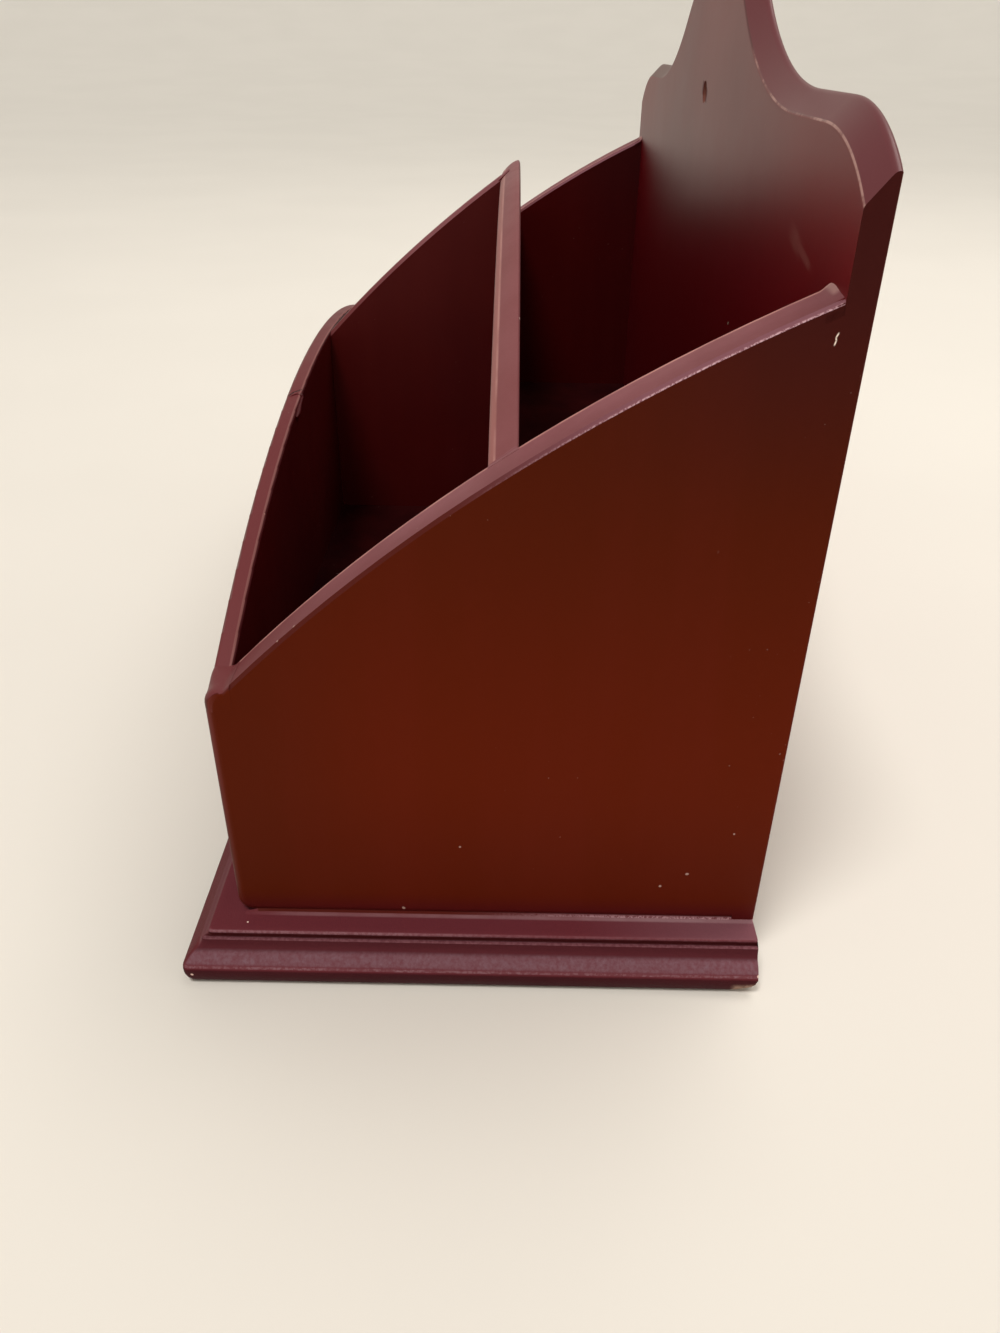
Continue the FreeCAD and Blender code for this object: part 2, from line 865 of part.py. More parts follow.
def make_case():
    """The fixed pieces and their fasteners, each bored for what is driven into it."""
    play = size("brad_play")
    base_screws = group("base_screws", [make_screw(x, y) for x, y in screw_places()])
    screw_holes = group(
        "screw_holes", [screw_solid(x, y, size("screw_play")) for x, y in screw_places()]
    )
    back_brads = make_brads("back_brads", back_brad_spots(), size("back_brad_length"))
    back_holes = make_brads("back_holes", back_brad_spots(), size("back_brad_length"), play)
    partition_brads = make_brads(
        "partition_brads", partition_brad_spots(), size("partition_brad_length")
    )
    partition_holes = make_brads(
        "partition_holes", partition_brad_spots(), size("partition_brad_length"), play
    )
    case = [base_screws, back_brads, partition_brads]
    side_holes = []
    for name, hand in (("right_side", 1), ("left_side", -1)):
        spots = side_brad_spots(hand)
        case.append(make_brads(f"{name}_brads", spots, size("brad_length")))
        holes = make_brads(f"{name}_holes", spots, size("brad_length"), play)
        blank = make_side_blank(f"{name}_panel_blank", hand)
        tools = group(f"{name}_tools", [holes, screw_holes, back_holes])
        case.append(cut(f"{name}_panel", blank, tools))
        side_holes.append(holes)

    front_blank = make_arched_board(
        "front_panel_blank", front, size("front_thickness"), floor_underside,
        front_end_height, size("front_rim_radius"),
    )
    divider_blank = make_arched_board(
        "divider_blank", divider_front, size("divider_thickness"), floor_top,
        divider_end_height, size("divider_rim_radius"),
    )
    joint_holes = group("joint_holes", side_holes + [partition_holes])
    floor_holes = group("floor_holes", side_holes + [back_holes])
    return case + [
        cut("base_plate", make_base_blank(), screw_holes),
        cut("back_board", make_back_blank(), back_holes),
        cut("front_panel", front_blank, joint_holes),
        cut("divider", divider_blank, joint_holes),
        cut("centre_partition", make_partition_blank(), partition_holes),
        cut("pocket_floor", make_floor_blank(), floor_holes),
    ]


def make_drawer():
    """The drawer's pieces, closed, with its knob."""
    length = size("drawer_brad_length")
    holes = make_brads("drawer_holes", drawer_brad_spots(), length, size("brad_play"))
    return [
        make_brads("drawer_brads", drawer_brad_spots(), length),
        cut("drawer_front", make_drawer_front(), holes),
        cut("drawer_right_side", make_drawer_side("drawer_right_side_blank", 1), holes),
        cut("drawer_left_side", make_drawer_side("drawer_left_side_blank", -1), holes),
        cut("drawer_back", make_drawer_back(), holes),
        make_drawer_bottom(),
        make_knob(),
        make_knob_screw(),
    ]


def check_document(nodes):
    """Stop if any object failed, or if a sub-part has no sound shape."""
    doc.recompute()
    for item in doc.Objects:
        if "Invalid" in item.State or "Error" in item.State:
            raise RuntimeError(f"{item.Label} failed: {item.State}")
    for node in nodes:
        if node.Shape.isNull() or not node.Shape.isValid() or not node.Shape.Solids:
            raise RuntimeError(f"{node.Label} has no sound shape")


def write_nodes(nodes):
    os.makedirs("parts", exist_ok=True)
    for node in nodes:
        node.Shape.exportStep(f"parts/{node.Label}.step")
        box = node.Shape.BoundBox
        print(
            f"{node.Label}: {len(node.Shape.Solids)} solid(s), "
            f"{box.XLength:.1f} x {box.YLength:.1f} x {box.ZLength:.1f}"
        )


sub_parts = make_case() + make_drawer()
check_document(sub_parts)
write_nodes(sub_parts)
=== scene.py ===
"""Looks for the envelope sorter: materials, moulded pieces and pieces with wear, floor, light and
camera.
"""
import math

import bmesh
import bpy
from mathutils import Matrix, Vector, noise as field


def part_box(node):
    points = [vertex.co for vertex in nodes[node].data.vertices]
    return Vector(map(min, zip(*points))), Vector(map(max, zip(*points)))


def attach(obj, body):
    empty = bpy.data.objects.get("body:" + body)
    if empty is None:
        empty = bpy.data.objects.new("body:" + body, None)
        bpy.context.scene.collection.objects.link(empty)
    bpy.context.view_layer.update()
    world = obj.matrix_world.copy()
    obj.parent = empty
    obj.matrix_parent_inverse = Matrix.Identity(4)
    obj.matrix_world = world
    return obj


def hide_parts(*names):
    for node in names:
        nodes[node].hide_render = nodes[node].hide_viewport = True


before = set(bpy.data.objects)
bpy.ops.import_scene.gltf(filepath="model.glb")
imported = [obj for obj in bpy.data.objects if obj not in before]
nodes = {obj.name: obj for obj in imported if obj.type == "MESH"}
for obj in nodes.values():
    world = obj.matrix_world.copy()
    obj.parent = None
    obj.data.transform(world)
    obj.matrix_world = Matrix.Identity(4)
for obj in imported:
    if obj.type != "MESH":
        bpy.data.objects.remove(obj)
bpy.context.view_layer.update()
MM = 0.001

# ---------------------------------------------------------------- node helpers


class Shader:
    """A material under construction: most methods add nodes and return an output socket."""

    def __init__(self, name):
        self.material = bpy.data.materials.new(name)
        self.material.use_nodes = True
        self.tree = self.material.node_tree
        self.tree.nodes.clear()
        self.surface = self.add("ShaderNodeBsdfPrincipled")
        out = self.add("ShaderNodeOutputMaterial")
        self.tree.links.new(self.surface.outputs[0], out.inputs["Surface"])
        self.place = self.add("ShaderNodeTexCoord").outputs["Object"]
        self.facing = self.split(self.add("ShaderNodeNewGeometry").outputs["Normal"])
        self.at = self.split(self.place)

    def add(self, kind, **settings):
        node = self.tree.nodes.new(kind)
        for name, value in settings.items():
            setattr(node, name, value)
        return node

    def feed(self, socket, value):
        if isinstance(value, bpy.types.NodeSocket):
            self.tree.links.new(value, socket)
        else:
            socket.default_value = value

    def split(self, vector):
        node = self.add("ShaderNodeSeparateXYZ")
        self.feed(node.inputs[0], vector)
        return {axis: node.outputs[axis] for axis in "XYZ"}

    def stretched(self, scale):
        node = self.add("ShaderNodeMapping")
        self.feed(node.inputs["Vector"], self.place)
        node.inputs["Scale"].default_value = scale
        return node.outputs[0]

    def noise(self, scale, detail=3.0, rough=0.5, stretch=None, distortion=0.0):
        node = self.add("ShaderNodeTexNoise")
        self.feed(node.inputs["Vector"], self.stretched(stretch) if stretch else self.place)
        node.inputs["Scale"].default_value = scale
        node.inputs["Detail"].default_value = detail
        node.inputs["Roughness"].default_value = rough
        node.inputs["Distortion"].default_value = distortion
        return node.outputs["Fac"]

    def ramp(self, value, low, high, from_value=0.0, to_value=1.0):
        node = self.add("ShaderNodeMapRange", interpolation_type="SMOOTHSTEP")
        self.feed(node.inputs["Value"], value)
        node.inputs["From Min"].default_value = low
        node.inputs["From Max"].default_value = high
        node.inputs["To Min"].default_value = from_value
        node.inputs["To Max"].default_value = to_value
        return node.outputs["Result"]

    def rise(self, place, low, high, from_value=0.0, to_value=1.0):
        """A ramp along a place's coordinate, with its limits in millimetres."""
        return self.ramp(place, low * MM, high * MM, from_value, to_value)

    def math(self, operation, first, second=0.0):
        node = self.add("ShaderNodeMath", operation=operation)
        self.feed(node.inputs[0], first)
        self.feed(node.inputs[1], second)
        return node.outputs[0]

    def times(self, *values):
        total = values[0]
        for value in values[1:]:
            total = self.math("MULTIPLY", total, value)
        return total

    def band(self, value, low, high, soft):
        """1 between low and high, fading over soft on both sides, all in millimetres."""
        rise = self.rise(value, low - soft, low)
        return self.times(rise, self.rise(value, high, high + soft, 1.0, 0.0))

    def mix(self, share, first, second, blend="MIX"):
        node = self.add("ShaderNodeMix", data_type="RGBA", blend_type=blend)
        colours = [item for item in node.inputs if item.type == "RGBA"]
        self.feed(node.inputs["Factor"], share)
        self.feed(colours[0], first)
        self.feed(colours[1], second)
        return next(item for item in node.outputs if item.type == "RGBA")

    def bump(self, height, strength, distance, under=None):
        node = self.add("ShaderNodeBump")
        node.inputs["Strength"].default_value = strength
        node.inputs["Distance"].default_value = distance
        self.feed(node.inputs["Height"], height)
        if under:
            self.feed(node.inputs["Normal"], under)
        return node.outputs["Normal"]

    def spots(self, places, ragged=0.5):
        """1 inside ragged round spots, each a point and a radius in millimetres."""
        wobble = self.ramp(self.noise(900), 0.25, 0.75, 0.0, ragged)
        mask = 0.0
        for x, y, z, radius in places:
            gap = self.add("ShaderNodeVectorMath", operation="DISTANCE")
            self.feed(gap.inputs[0], self.place)
            gap.inputs[1].default_value = (x * MM, y * MM, z * MM)
            reach = self.math("ADD", self.math("DIVIDE", gap.outputs["Value"], radius * MM), wobble)
            mask = self.math("MAXIMUM", mask, self.ramp(reach, 0.85, 1.15, 1.0, 0.0))
        return mask

    def strokes(self, lines, width):
        """1 on thin straight strokes between two points, in millimetres."""
        mask = 0.0
        for start, end in lines:
            start, end = Vector(start) * MM, Vector(end) * MM
            along = (end - start).normalized()
            offset = self.add("ShaderNodeVectorMath", operation="SUBTRACT")
            self.feed(offset.inputs[0], self.place)
            offset.inputs[1].default_value = start
            run = self.add("ShaderNodeVectorMath", operation="DOT_PRODUCT")
            self.feed(run.inputs[0], offset.outputs[0])
            run.inputs[1].default_value = along
            foot = self.add("ShaderNodeVectorMath", operation="SCALE")
            foot.inputs[0].default_value = along
            self.feed(foot.inputs["Scale"], run.outputs["Value"])
            gap = self.add("ShaderNodeVectorMath", operation="DISTANCE")
            self.feed(gap.inputs[0], offset.outputs[0])
            self.feed(gap.inputs[1], foot.outputs[0])
            near = self.rise(gap.outputs["Value"], width * 0.3, width * 0.6, 1.0, 0.0)
            length = (end - start).length / MM
            begun = self.rise(run.outputs["Value"], -width, width)
            ended = self.rise(run.outputs["Value"], length - width, length + width, 1.0, 0.0)
            mask = self.math("MAXIMUM", mask, self.times(near, begun, ended))
        return mask

    def set(self, **inputs):
        for name, value in inputs.items():
            self.feed(self.surface.inputs[name.replace("_", " ")], value)


def colour(red, green, blue):
    """A linear colour from 0-255 display values."""
    def linear(value):
        value /= 255
        return value / 12.92 if value <= 0.04045 else ((value + 0.055) / 1.055) ** 2.4
    return (linear(red), linear(green), linear(blue), 1.0)


# ---------------------------------------------------------------- materials

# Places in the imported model, in millimetres.
HALF_WIDTH = 133.5
INNER_HALF = 124.5
FRONT = -43.25
FRONT_INSIDE = -39.85
FRONT_TOP = 60.68
DIVIDER_FRONT = 4.95
DIVIDER_BACK = 9.75
BACK_FACE = 52.95
BACK = 57.25
BASE_TOP = 9.6
FLOOR_TOP = 39.6
HOLE_HEIGHT = 144.9

CHIP = colour(226, 196, 186)
DARK = colour(26, 5, 8)
# A body colour is a pair, and the paint wanders between the two.
# INSIDE is CREST's paint made darker, painted shade for the case's inner faces; SHADED, darker
# still, is painted shade for the pocket floors.
INSIDE = (colour(76, 9, 9), colour(67, 7, 11))
CREST = (colour(112, 9, 13), colour(102, 7, 15))
PURPLE = (colour(82, 28, 36), colour(70, 22, 30))
SHADED = (colour(34, 4, 5), colour(28, 3, 5))


def painted(name, across=None, marks=None, level=0.3, body=INSIDE, gloss=(0.4, 0.52), relief=0.06):
    """Satin burgundy paint: brown on the case's outer faces as painted warm bounce light, mauve on
    its top edges, partly dusty paint and partly painted sheen.

    across is the axis through a board's thickness, which tells the flat of its top edge from the
    rims. marks adds a board's own wear and its painted highlights and shade. level is the sheen,
    gloss the span of the roughness, and relief the strength of the brush strokes.
    """
    s = Shader(name)
    s.brush = s.noise(80, 4, 0.6, (1.0, 1.0, 0.1))
    s.wide = s.math("ABSOLUTE", s.at["X"])
    inside = s.mix(s.ramp(s.noise(13, 3), 0.35, 0.65), *body)
    # painted warm bounce light: the case's outer faces are brown, brightest about 45 mm up and
    # toward the back
    brown = s.mix(s.rise(s.at["Z"], 45, 115), colour(92, 25, 2), colour(76, 23, 4))
    brown = s.mix(s.rise(s.at["Z"], 45, 12), brown, colour(83, 21, 3))
    brown = s.mix(s.rise(s.at["Y"], -8, -38, 0.0, 0.6), brown, colour(78, 24, 4))
    sideways = s.ramp(s.math("ABSOLUTE", s.facing["X"]), 0.5, 0.8)
    ends = s.times(s.rise(s.wide, HALF_WIDTH - 1.0, HALF_WIDTH - 0.2), sideways)
    frontways = s.ramp(s.facing["Y"], -0.5, -0.8)
    fronts = s.times(s.rise(s.at["Y"], FRONT + 0.75, FRONT + 0.15), frontways)
    above_base = s.rise(s.at["Z"], BASE_TOP - 0.2, BASE_TOP + 0.1)
    base = s.mix(s.times(s.math("MAXIMUM", ends, fronts), above_base), inside, brown)
    base = s.mix(s.ramp(s.brush, 0.35, 0.75, 0.0, 0.08), base, colour(112, 34, 30))
    s.flat = s.ramp(s.facing["Z"], 0.2, 0.45)
    if across:
        s.through = s.math("ABSOLUTE", s.facing[across])
        s.flat = s.times(s.ramp(s.through, 0.3, 0.14), s.flat)
    # the top edges: mauve, partly dusty paint and partly painted sheen, darker toward the front
    dust_and_sheen = s.mix(s.ramp(s.noise(60, 5, 0.65), 0.3, 0.7), colour(120, 71, 76), colour(129, 80, 86))
    dust_and_sheen = s.mix(s.rise(s.at["Y"], -8, -40), dust_and_sheen, colour(102, 48, 51))
    above_floor = s.rise(s.at["Z"], FLOOR_TOP - 0.1, FLOOR_TOP + 1.4)
    base = s.mix(s.times(s.flat, above_floor), base, dust_and_sheen)
    fleck = s.times(s.ramp(s.noise(1100, 2, 0.5), 0.75, 0.77), s.ramp(s.noise(40, 2), 0.5, 0.62))
    base = s.mix(s.times(fleck, 0.2), base, CHIP)
    normal = s.bump(s.brush, relief, 0.0003)
    normal = s.bump(s.noise(1500, 3, 0.6), 0.02 + relief * 1.6, 0.00012, normal)
    s.dulled = 0.0
    if marks:
        base, normal = marks(s, base, normal)
    rough = s.math("MAXIMUM", s.ramp(s.noise(45, 4, 0.6), 0.3, 0.7, *gloss), s.dulled)
    s.set(Base_Color=base, Roughness=rough, Normal=normal)
    s.set(IOR=1.3, Specular_IOR_Level=level)
    return s.material


def side_marks(s, base, normal):
    """The end boards: painted highlights and shade on the rims, brighter toward the back, painted
    shade on the front edge, the foot and the upper back corner, old knocks.
    """
    # the flat of the arched top edge: a painted highlight along its inside, darker outwards
    patchy = s.ramp(s.noise(150, 3), 0.3, 0.6, 0.4, 0.9)
    inner = s.times(s.flat, s.band(s.wide, INNER_HALF + 0.6, INNER_HALF + 1.2, 0.3), patchy)
    base = s.mix(inner, base, colour(178, 128, 122))
    outer = s.times(s.flat, s.rise(s.wide, 127.5, 132.5), 0.35)
    base = s.mix(outer, base, colour(104, 54, 58))
    # the rounded rim outside it: painted shade in front, a painted highlight behind, broken into
    # glints
    rim = s.times(s.ramp(s.through, 0.4, 0.55), s.ramp(s.through, 0.92, 0.8))
    rim = s.times(rim, s.ramp(s.facing["Z"], 0.25, 0.45))
    toward_back = s.rise(s.at["Y"], -5, 30)
    base = s.mix(rim, base, s.mix(toward_back, colour(80, 30, 25), colour(124, 80, 90)))
    outward = s.ramp(s.through, 0.8, 0.95)
    # painted shade low on the outer face, above the base
    foot = s.times(s.rise(s.at["Z"], 16, 10.5), outward)
    base = s.mix(s.times(foot, 0.6), base, colour(74, 16, 26))
    rim_glints = s.times(rim, s.ramp(s.noise(2600, 3, 0.75), 0.42, 0.56), s.rise(s.at["Y"], 0, 36),
                     s.rise(s.at["X"], HALF_WIDTH - 0.28, HALF_WIDTH - 0.1))
    base = s.mix(s.times(rim_glints, 0.85), base, colour(206, 168, 178))
    # painted sheen on the corner that turns into the upright front edge
    upright = s.ramp(s.facing["Z"], 0.5, 0.25)
    turning = s.times(s.ramp(s.facing["Y"], -0.08, -0.5), s.ramp(s.facing["Y"], -0.999, -0.97))
    turning = s.times(turning, upright, s.rise(s.at["Z"], 15, 58, 0.3, 1.0))
    base = s.mix(s.times(turning, 0.5), base, colour(112, 56, 54))
    # a painted highlight on the paint pooled where the flat meets the back board
    pool_highlight = s.times(s.rise(s.at["Y"], 51.9, 52.5), s.band(s.wide, 125.2, 129.0, 1.6),
                   s.ramp(s.facing["Z"], 0.3, 0.6), s.rise(s.at["Z"], 100, 110))
    base = s.mix(s.times(pool_highlight, 0.45), base, colour(180, 146, 140))
    # painted shade on the upright front edge
    front_edge = s.times(s.ramp(s.facing["Y"], -0.9, -0.98), upright)
    base = s.mix(s.times(front_edge, 0.6), base, colour(66, 27, 24))
    # painted shade on the face's upper back corner, darker across the joint with the back board
    high = s.times(outward, s.rise(s.at["Z"], 88, 135), s.rise(s.at["Y"], 5, 50))
    base = s.mix(s.times(high, 0.8), base, colour(56, 19, 21))
    knocks = s.spots([
        (133.5, -10.8, 11.6, 0.4), (133.5, 0.3, 27.6, 0.25), (133.5, 38.3, 18.6, 0.3),
        (133.5, 50.6, 31.9, 0.25), (133.5, 43.1, 21.8, 0.35), (132.5, -26.3, 73.7, 0.3),
        (132.8, -29.2, 71.0, 0.3),
    ])
    base = s.mix(s.times(knocks, 0.4), base, CHIP)
    chip = s.strokes([
        ((133.5, 52.75, 121.5), (133.5, 52.5, 120.9)), ((133.5, 52.5, 120.9), (133.5, 52.6, 120.5)),
        ((133.5, 52.6, 120.5), (133.5, 52.45, 119.9)),
    ], 0.22)
    base = s.mix(chip, base, colour(244, 226, 214))
    return base, normal


def crest_marks(s, base, normal):
    """The back board: a mauve bevel, dusty with painted sheen; a painted shadow line and highlight
    along the arris; painted shade low down; painted light inside the hanging hole and a smeared,
    shaded patch across it; slanting scratches.
    """
    # the bevel: mauve, dusty paint with painted sheen, darker on the far side as painted shade
    bevel = s.times(s.ramp(s.facing["Z"], 0.2, 0.4), s.ramp(s.through, 0.97, 0.9))
    far_side = s.rise(s.at["X"], 30, -30)
    base = s.mix(s.times(bevel, 0.9), base, s.mix(far_side, colour(99, 56, 61), colour(76, 42, 40)))
    # the arris between the face and the bevel: a painted shadow line round the crown, a broken
    # painted highlight to its right
    arris = s.times(s.ramp(s.facing["Y"], -0.78, -0.84), s.ramp(s.facing["Y"], -0.99, -0.965))
    patchy = s.ramp(s.noise(130, 4, 0.7), 0.42, 0.62, 0.1, 0.9)
    arris_term = s.times(arris, s.rise(s.at["Z"], 154.5, 151.5), patchy, s.rise(s.at["X"], -10, 30))
    base = s.mix(s.times(arris, s.rise(s.at["Z"], 152.5, 154.5), 0.6), base, colour(70, 28, 30))
    base = s.mix(arris_term, base, colour(176, 136, 130))
    # painted shade: the board is darker and redder toward the bottom
    low = s.rise(s.at["Z"], 140, 120)
    base = s.mix(s.times(low, 0.6), base, colour(94, 4, 17))
    # the hanging hole: its inner wall lightened as painted light, and a smeared patch across it
    # with less sheen, darkened as painted shade
    smudge_and_shade = s.strokes([((-4.0, 53, 146.1), (4.0, 53, 144.0))], 3.6)
    base = s.mix(s.times(smudge_and_shade, 0.6), base, colour(70, 30, 27))
    s.dulled = s.times(smudge_and_shade, 0.8)
    bore_light = s.times(s.spots([(0, 53.6, HOLE_HEIGHT, 2.6)], 0.0), s.rise(s.at["Y"], 53, 53.1))
    base = s.mix(bore_light, base, colour(120, 72, 62))
    scratch = s.math("MAXIMUM", s.strokes([((99.8, 53, 129.1), (105.5, 53, 127.7))], 3.2),
                     s.strokes([((104, 53, 128.2), (113.3, 53, 126.3))], 1.6))
    base = s.mix(s.times(scratch, 0.1), base, colour(196, 150, 140))
    speck = s.spots([(59.7, 53.0, 105.7, 0.4)])
    base = s.mix(s.times(speck, 0.8), base, colour(190, 190, 170))
    return base, normal


def front_marks(s, base, normal):
    """The front board: a hairline crack across its top edge, painted shade on its inner rim with a
    painted highlight beside it, pinhead knocks.
    """
    crack = s.strokes([
        ((46.1, -42.6, 85.0), (44.1, -41.8, 85.3)), ((44.1, -41.8, 85.3), (42.4, -39.9, 85.5)),
        ((42.4, -39.85, 85.5), (42.7, -39.85, 83.6)),
    ], 0.45)
    base = s.mix(crack, base, DARK)
    # painted shade on the inner rim, and a painted highlight along the top edge beside it
    rim = s.times(s.rise(s.at["Y"], -40.2, -40.1), s.ramp(s.facing["Z"], 0.2, 0.4))
    base = s.mix(s.times(rim, 0.85), base, colour(60, 16, 20))
    pale = s.times(s.flat, s.band(s.at["Y"], -40.45, -40.2, 0.12), 0.4)
    base = s.mix(pale, base, colour(150, 104, 100))
    knocks = s.spots([(82.4, -40.1, 76.8, 0.4), (89.5, -40.1, 74.6, 0.3)])
    base = s.mix(s.times(knocks, 0.8), base, colour(226, 170, 158))
    return base, s.bump(s.math("SUBTRACT", 1.0, crack), 0.6, 0.0004, normal)


def divider_marks(s, base, normal):
    """The divider: painted highlights along the front of its planed edge, and its back arris is
    nicked.
    """
    base = s.mix(s.times(s.flat, 0.35), base, colour(118, 64, 62))
    # painted highlights: a paler rim and a bright ridge along the front of the planed edge
    rim = s.times(s.band(s.at["Y"], DIVIDER_FRONT, DIVIDER_FRONT + 0.9, 0.4), s.flat)
    base = s.mix(s.times(rim, 0.7), base, colour(152, 102, 98))
    ridge = s.band(s.at["Y"], DIVIDER_FRONT + 0.9, DIVIDER_FRONT + 1.05, 0.2)
    ridge = s.times(ridge, s.flat, s.ramp(s.noise(90, 3), 0.35, 0.65, 0.0, 0.6))
    base = s.mix(ridge, base, colour(178, 132, 128))
    edge = s.band(s.at["Y"], DIVIDER_BACK - 0.35, DIVIDER_BACK, 0.1)
    nicks = s.times(edge, s.ramp(s.noise(330, 2), 0.7, 0.73), s.flat)
    base = s.mix(s.times(nicks, 0.7), base, colour(214, 186, 178))
    return base, normal


def base_marks(s, base, normal):
    """The base: a dusty nose with a painted highlight, painted highlights on the lip, fillet and
    arris of the end runs, painted shade in the quirk, cove and undercut, rubbed corners.
    """
    gritty = s.ramp(s.noise(1300, 4, 0.7), 0.3, 0.7)
    patchy = s.ramp(s.noise(120, 4, 0.6), 0.3, 0.65, 0.6, 1.0)
    mottled = s.ramp(s.noise(700, 5, 0.75), 0.25, 0.75, 0.6, 1.15)
    # the mitre parts the end runs from the front run
    mitre = s.math("ADD", s.wide, s.at["Y"])
    beyond = HALF_WIDTH + FRONT
    end = s.times(s.rise(mitre, beyond - 0.55, beyond + 0.25), s.rise(s.wide, 133.5, 134))
    on_top = s.rise(s.at["Z"], BASE_TOP - 0.2, BASE_TOP)
    base = s.mix(s.times(s.flat, 0.8), base, colour(105, 46, 54))
    rear = s.times(s.flat, s.rise(s.at["Y"], 20, 55), on_top)
    base = s.mix(s.times(rear, 0.7), base, colour(121, 80, 90))
    front = s.times(s.rise(mitre, beyond + 0.25, beyond - 0.55), s.rise(s.at["Y"], -40, -43),
                    s.rise(s.at["Z"], BASE_TOP, BASE_TOP - 0.3))
    base = s.mix(s.times(front, 0.8), base, colour(90, 38, 42))
    # a painted highlight along the front run's ridge
    ridge = s.times(front, s.band(s.at["Y"], -49.4, -47.9, 0.6))
    base = s.mix(s.times(ridge, 0.6), base, colour(114, 76, 80))
    # the end runs, member by member
    # painted shade in the cove
    cove = s.times(s.band(s.at["Z"], 6.5, 9.0, 0.35), end)
    base = s.mix(s.times(cove, 0.85), base, colour(77, 31, 38))
    # a painted highlight on the lip
    lip = s.times(s.band(s.at["Z"], 9.15, 9.5, 0.1), s.ramp(gritty, 0.2, 0.8, 0.5, 1.0), end)
    lip = s.times(lip, s.rise(s.at["Y"], 20, -20, 0.3, 0.8))
    base = s.mix(lip, base, colour(137, 97, 106))
    # painted shade in the quirk
    quirk = s.times(s.band(s.at["Z"], 8.35, 9.0, 0.05), end, s.rise(s.wide, 138.65, 138.6))
    base = s.mix(s.times(quirk, 0.8), base, colour(58, 16, 16))
    # a painted highlight on the fillet
    fillet = s.times(s.band(s.at["Z"], 8.52, 8.62, 0.06), s.rise(s.wide, 138.7, 138.8), end)
    fillet = s.times(fillet, s.ramp(gritty, 0.3, 0.7, 0.4, 0.8))
    base = s.mix(fillet, base, colour(120, 77, 85))
    # dusty paint and a painted highlight on the nose
    nose = s.times(s.band(s.at["Z"], 5.0, 6.05, 0.75), s.ramp(gritty, 0.0, 1.0, 0.55, 1.0))
    nose = s.times(nose, mottled, end)
    base = s.mix(s.times(nose, 0.76), base, colour(121, 93, 104))
    # a painted highlight on the arris
    arris = s.times(s.band(s.at["Z"], 4.05, 4.35, 0.15), s.ramp(gritty, 0.3, 0.8, 0.3, 1.0))
    arris = s.times(arris, patchy, end)
    base = s.mix(s.times(arris, 0.55), base, colour(145, 112, 122))
    # painted shade under the foot
    under = s.rise(s.at["Z"], 3.9, 3.4)
    base = s.mix(s.times(under, 0.8), base, colour(58, 20, 26))
    # dusty paint and a painted highlight where the end boards stand on the base
    joint = s.times(s.band(s.wide, HALF_WIDTH - 1, HALF_WIDTH + 0.35, 0.5),
                    s.rise(s.at["Y"], -41, -30))
    dust_and_highlight = s.times(joint, on_top, patchy, s.rise(s.at["Y"], -20, 45, 0.5, 1.0))
    base = s.mix(s.times(dust_and_highlight, 0.7), base, colour(142, 110, 116))
    # bare wood, chips and a crack at the corners
    bare = s.times(s.rise(s.at["Y"], 52, 53.5), s.rise(s.at["X"], 139.5, 141),
                   s.rise(s.at["Z"], 3.4, 3), s.ramp(s.facing["Z"], 0.0, -0.3))
    bare = s.times(bare, s.ramp(gritty, 0.1, 0.6, 0.5, 1.0))
    base = s.mix(bare, base, colour(150, 122, 108))
    chips = s.spots([(143.0, -50.8, 2.4, 0.36), (136.0, -40.8, 9.6, 0.25), (142.4, 57.2, 4.4, 0.4)])
    base = s.mix(chips, base, CHIP)
    crack = s.strokes([((143.2, 56.9, 3.9), (143.0, 55.7, 4.4))], 0.25)
    base = s.mix(crack, base, DARK)
    return base, s.bump(gritty, 0.2, 0.0002, normal)


def bare_wood(name, light, dark, along):
    """Unpainted wood with its grain along an axis."""
    s = Shader(name)
    stretch = [1.0, 1.0, 1.0]
    stretch["XYZ".index(along)] = 0.05
    grain = s.noise(260, 5, 0.65, stretch, 0.4)
    rings = s.noise(45, 3, 0.5, stretch, 1.2)
    base = s.mix(s.ramp(rings, 0.35, 0.65), light, dark)
    base = s.mix(s.ramp(grain, 0.45, 0.75, 0.0, 0.5), base, dark)
    pores = s.ramp(s.noise(1500, 2, 0.5, stretch), 0.62, 0.72)
    base = s.mix(s.times(pores, 0.5), base, colour(92, 62, 38))
    s.set(Base_Color=base, Roughness=s.ramp(grain, 0.3, 0.7, 0.55, 0.75))
    s.set(Normal=s.bump(grain, 0.25, 0.0003))
    return s.material


def metal(name, light, dark, rough_low, rough_high):
    """Stained metal with fine scratches."""
    s = Shader(name)
    stain = s.noise(160, 4, 0.6)
    scratch = s.noise(2200, 3, 0.6, (1.0, 0.08, 1.0))
    s.set(Base_Color=s.mix(s.ramp(stain, 0.35, 0.7), light, dark))
    s.set(Roughness=s.ramp(stain, 0.3, 0.7, rough_low, rough_high))
    s.set(Normal=s.bump(scratch, 0.08, 0.0001), Metallic=1.0)
    return s.material


def floor_material():
    """A pale, almost even floor."""
    s = Shader("floor_pale")
    soft = s.noise(6, 2)
    s.set(Base_Color=s.mix(s.ramp(soft, 0.3, 0.7), colour(225, 222, 216), colour(223, 220, 214)))
    s.set(Roughness=0.8, Specular_IOR_Level=0.2)
    return s.material


PAINT = painted("burgundy_paint", "Y")
EDGE_PAINT = painted("edge_paint")
SIDE_PAINT = painted("side_paint", "X", side_marks, level=0.1)
CREST_PAINT = painted("crest_paint", "Y", crest_marks, 0.5, CREST, gloss=(0.35, 0.37), relief=0.0)
FRONT_PAINT = painted("front_paint", marks=front_marks)
DIVIDER_PAINT = painted("divider_paint", marks=divider_marks)
PARTITION_PAINT = painted("partition_paint")
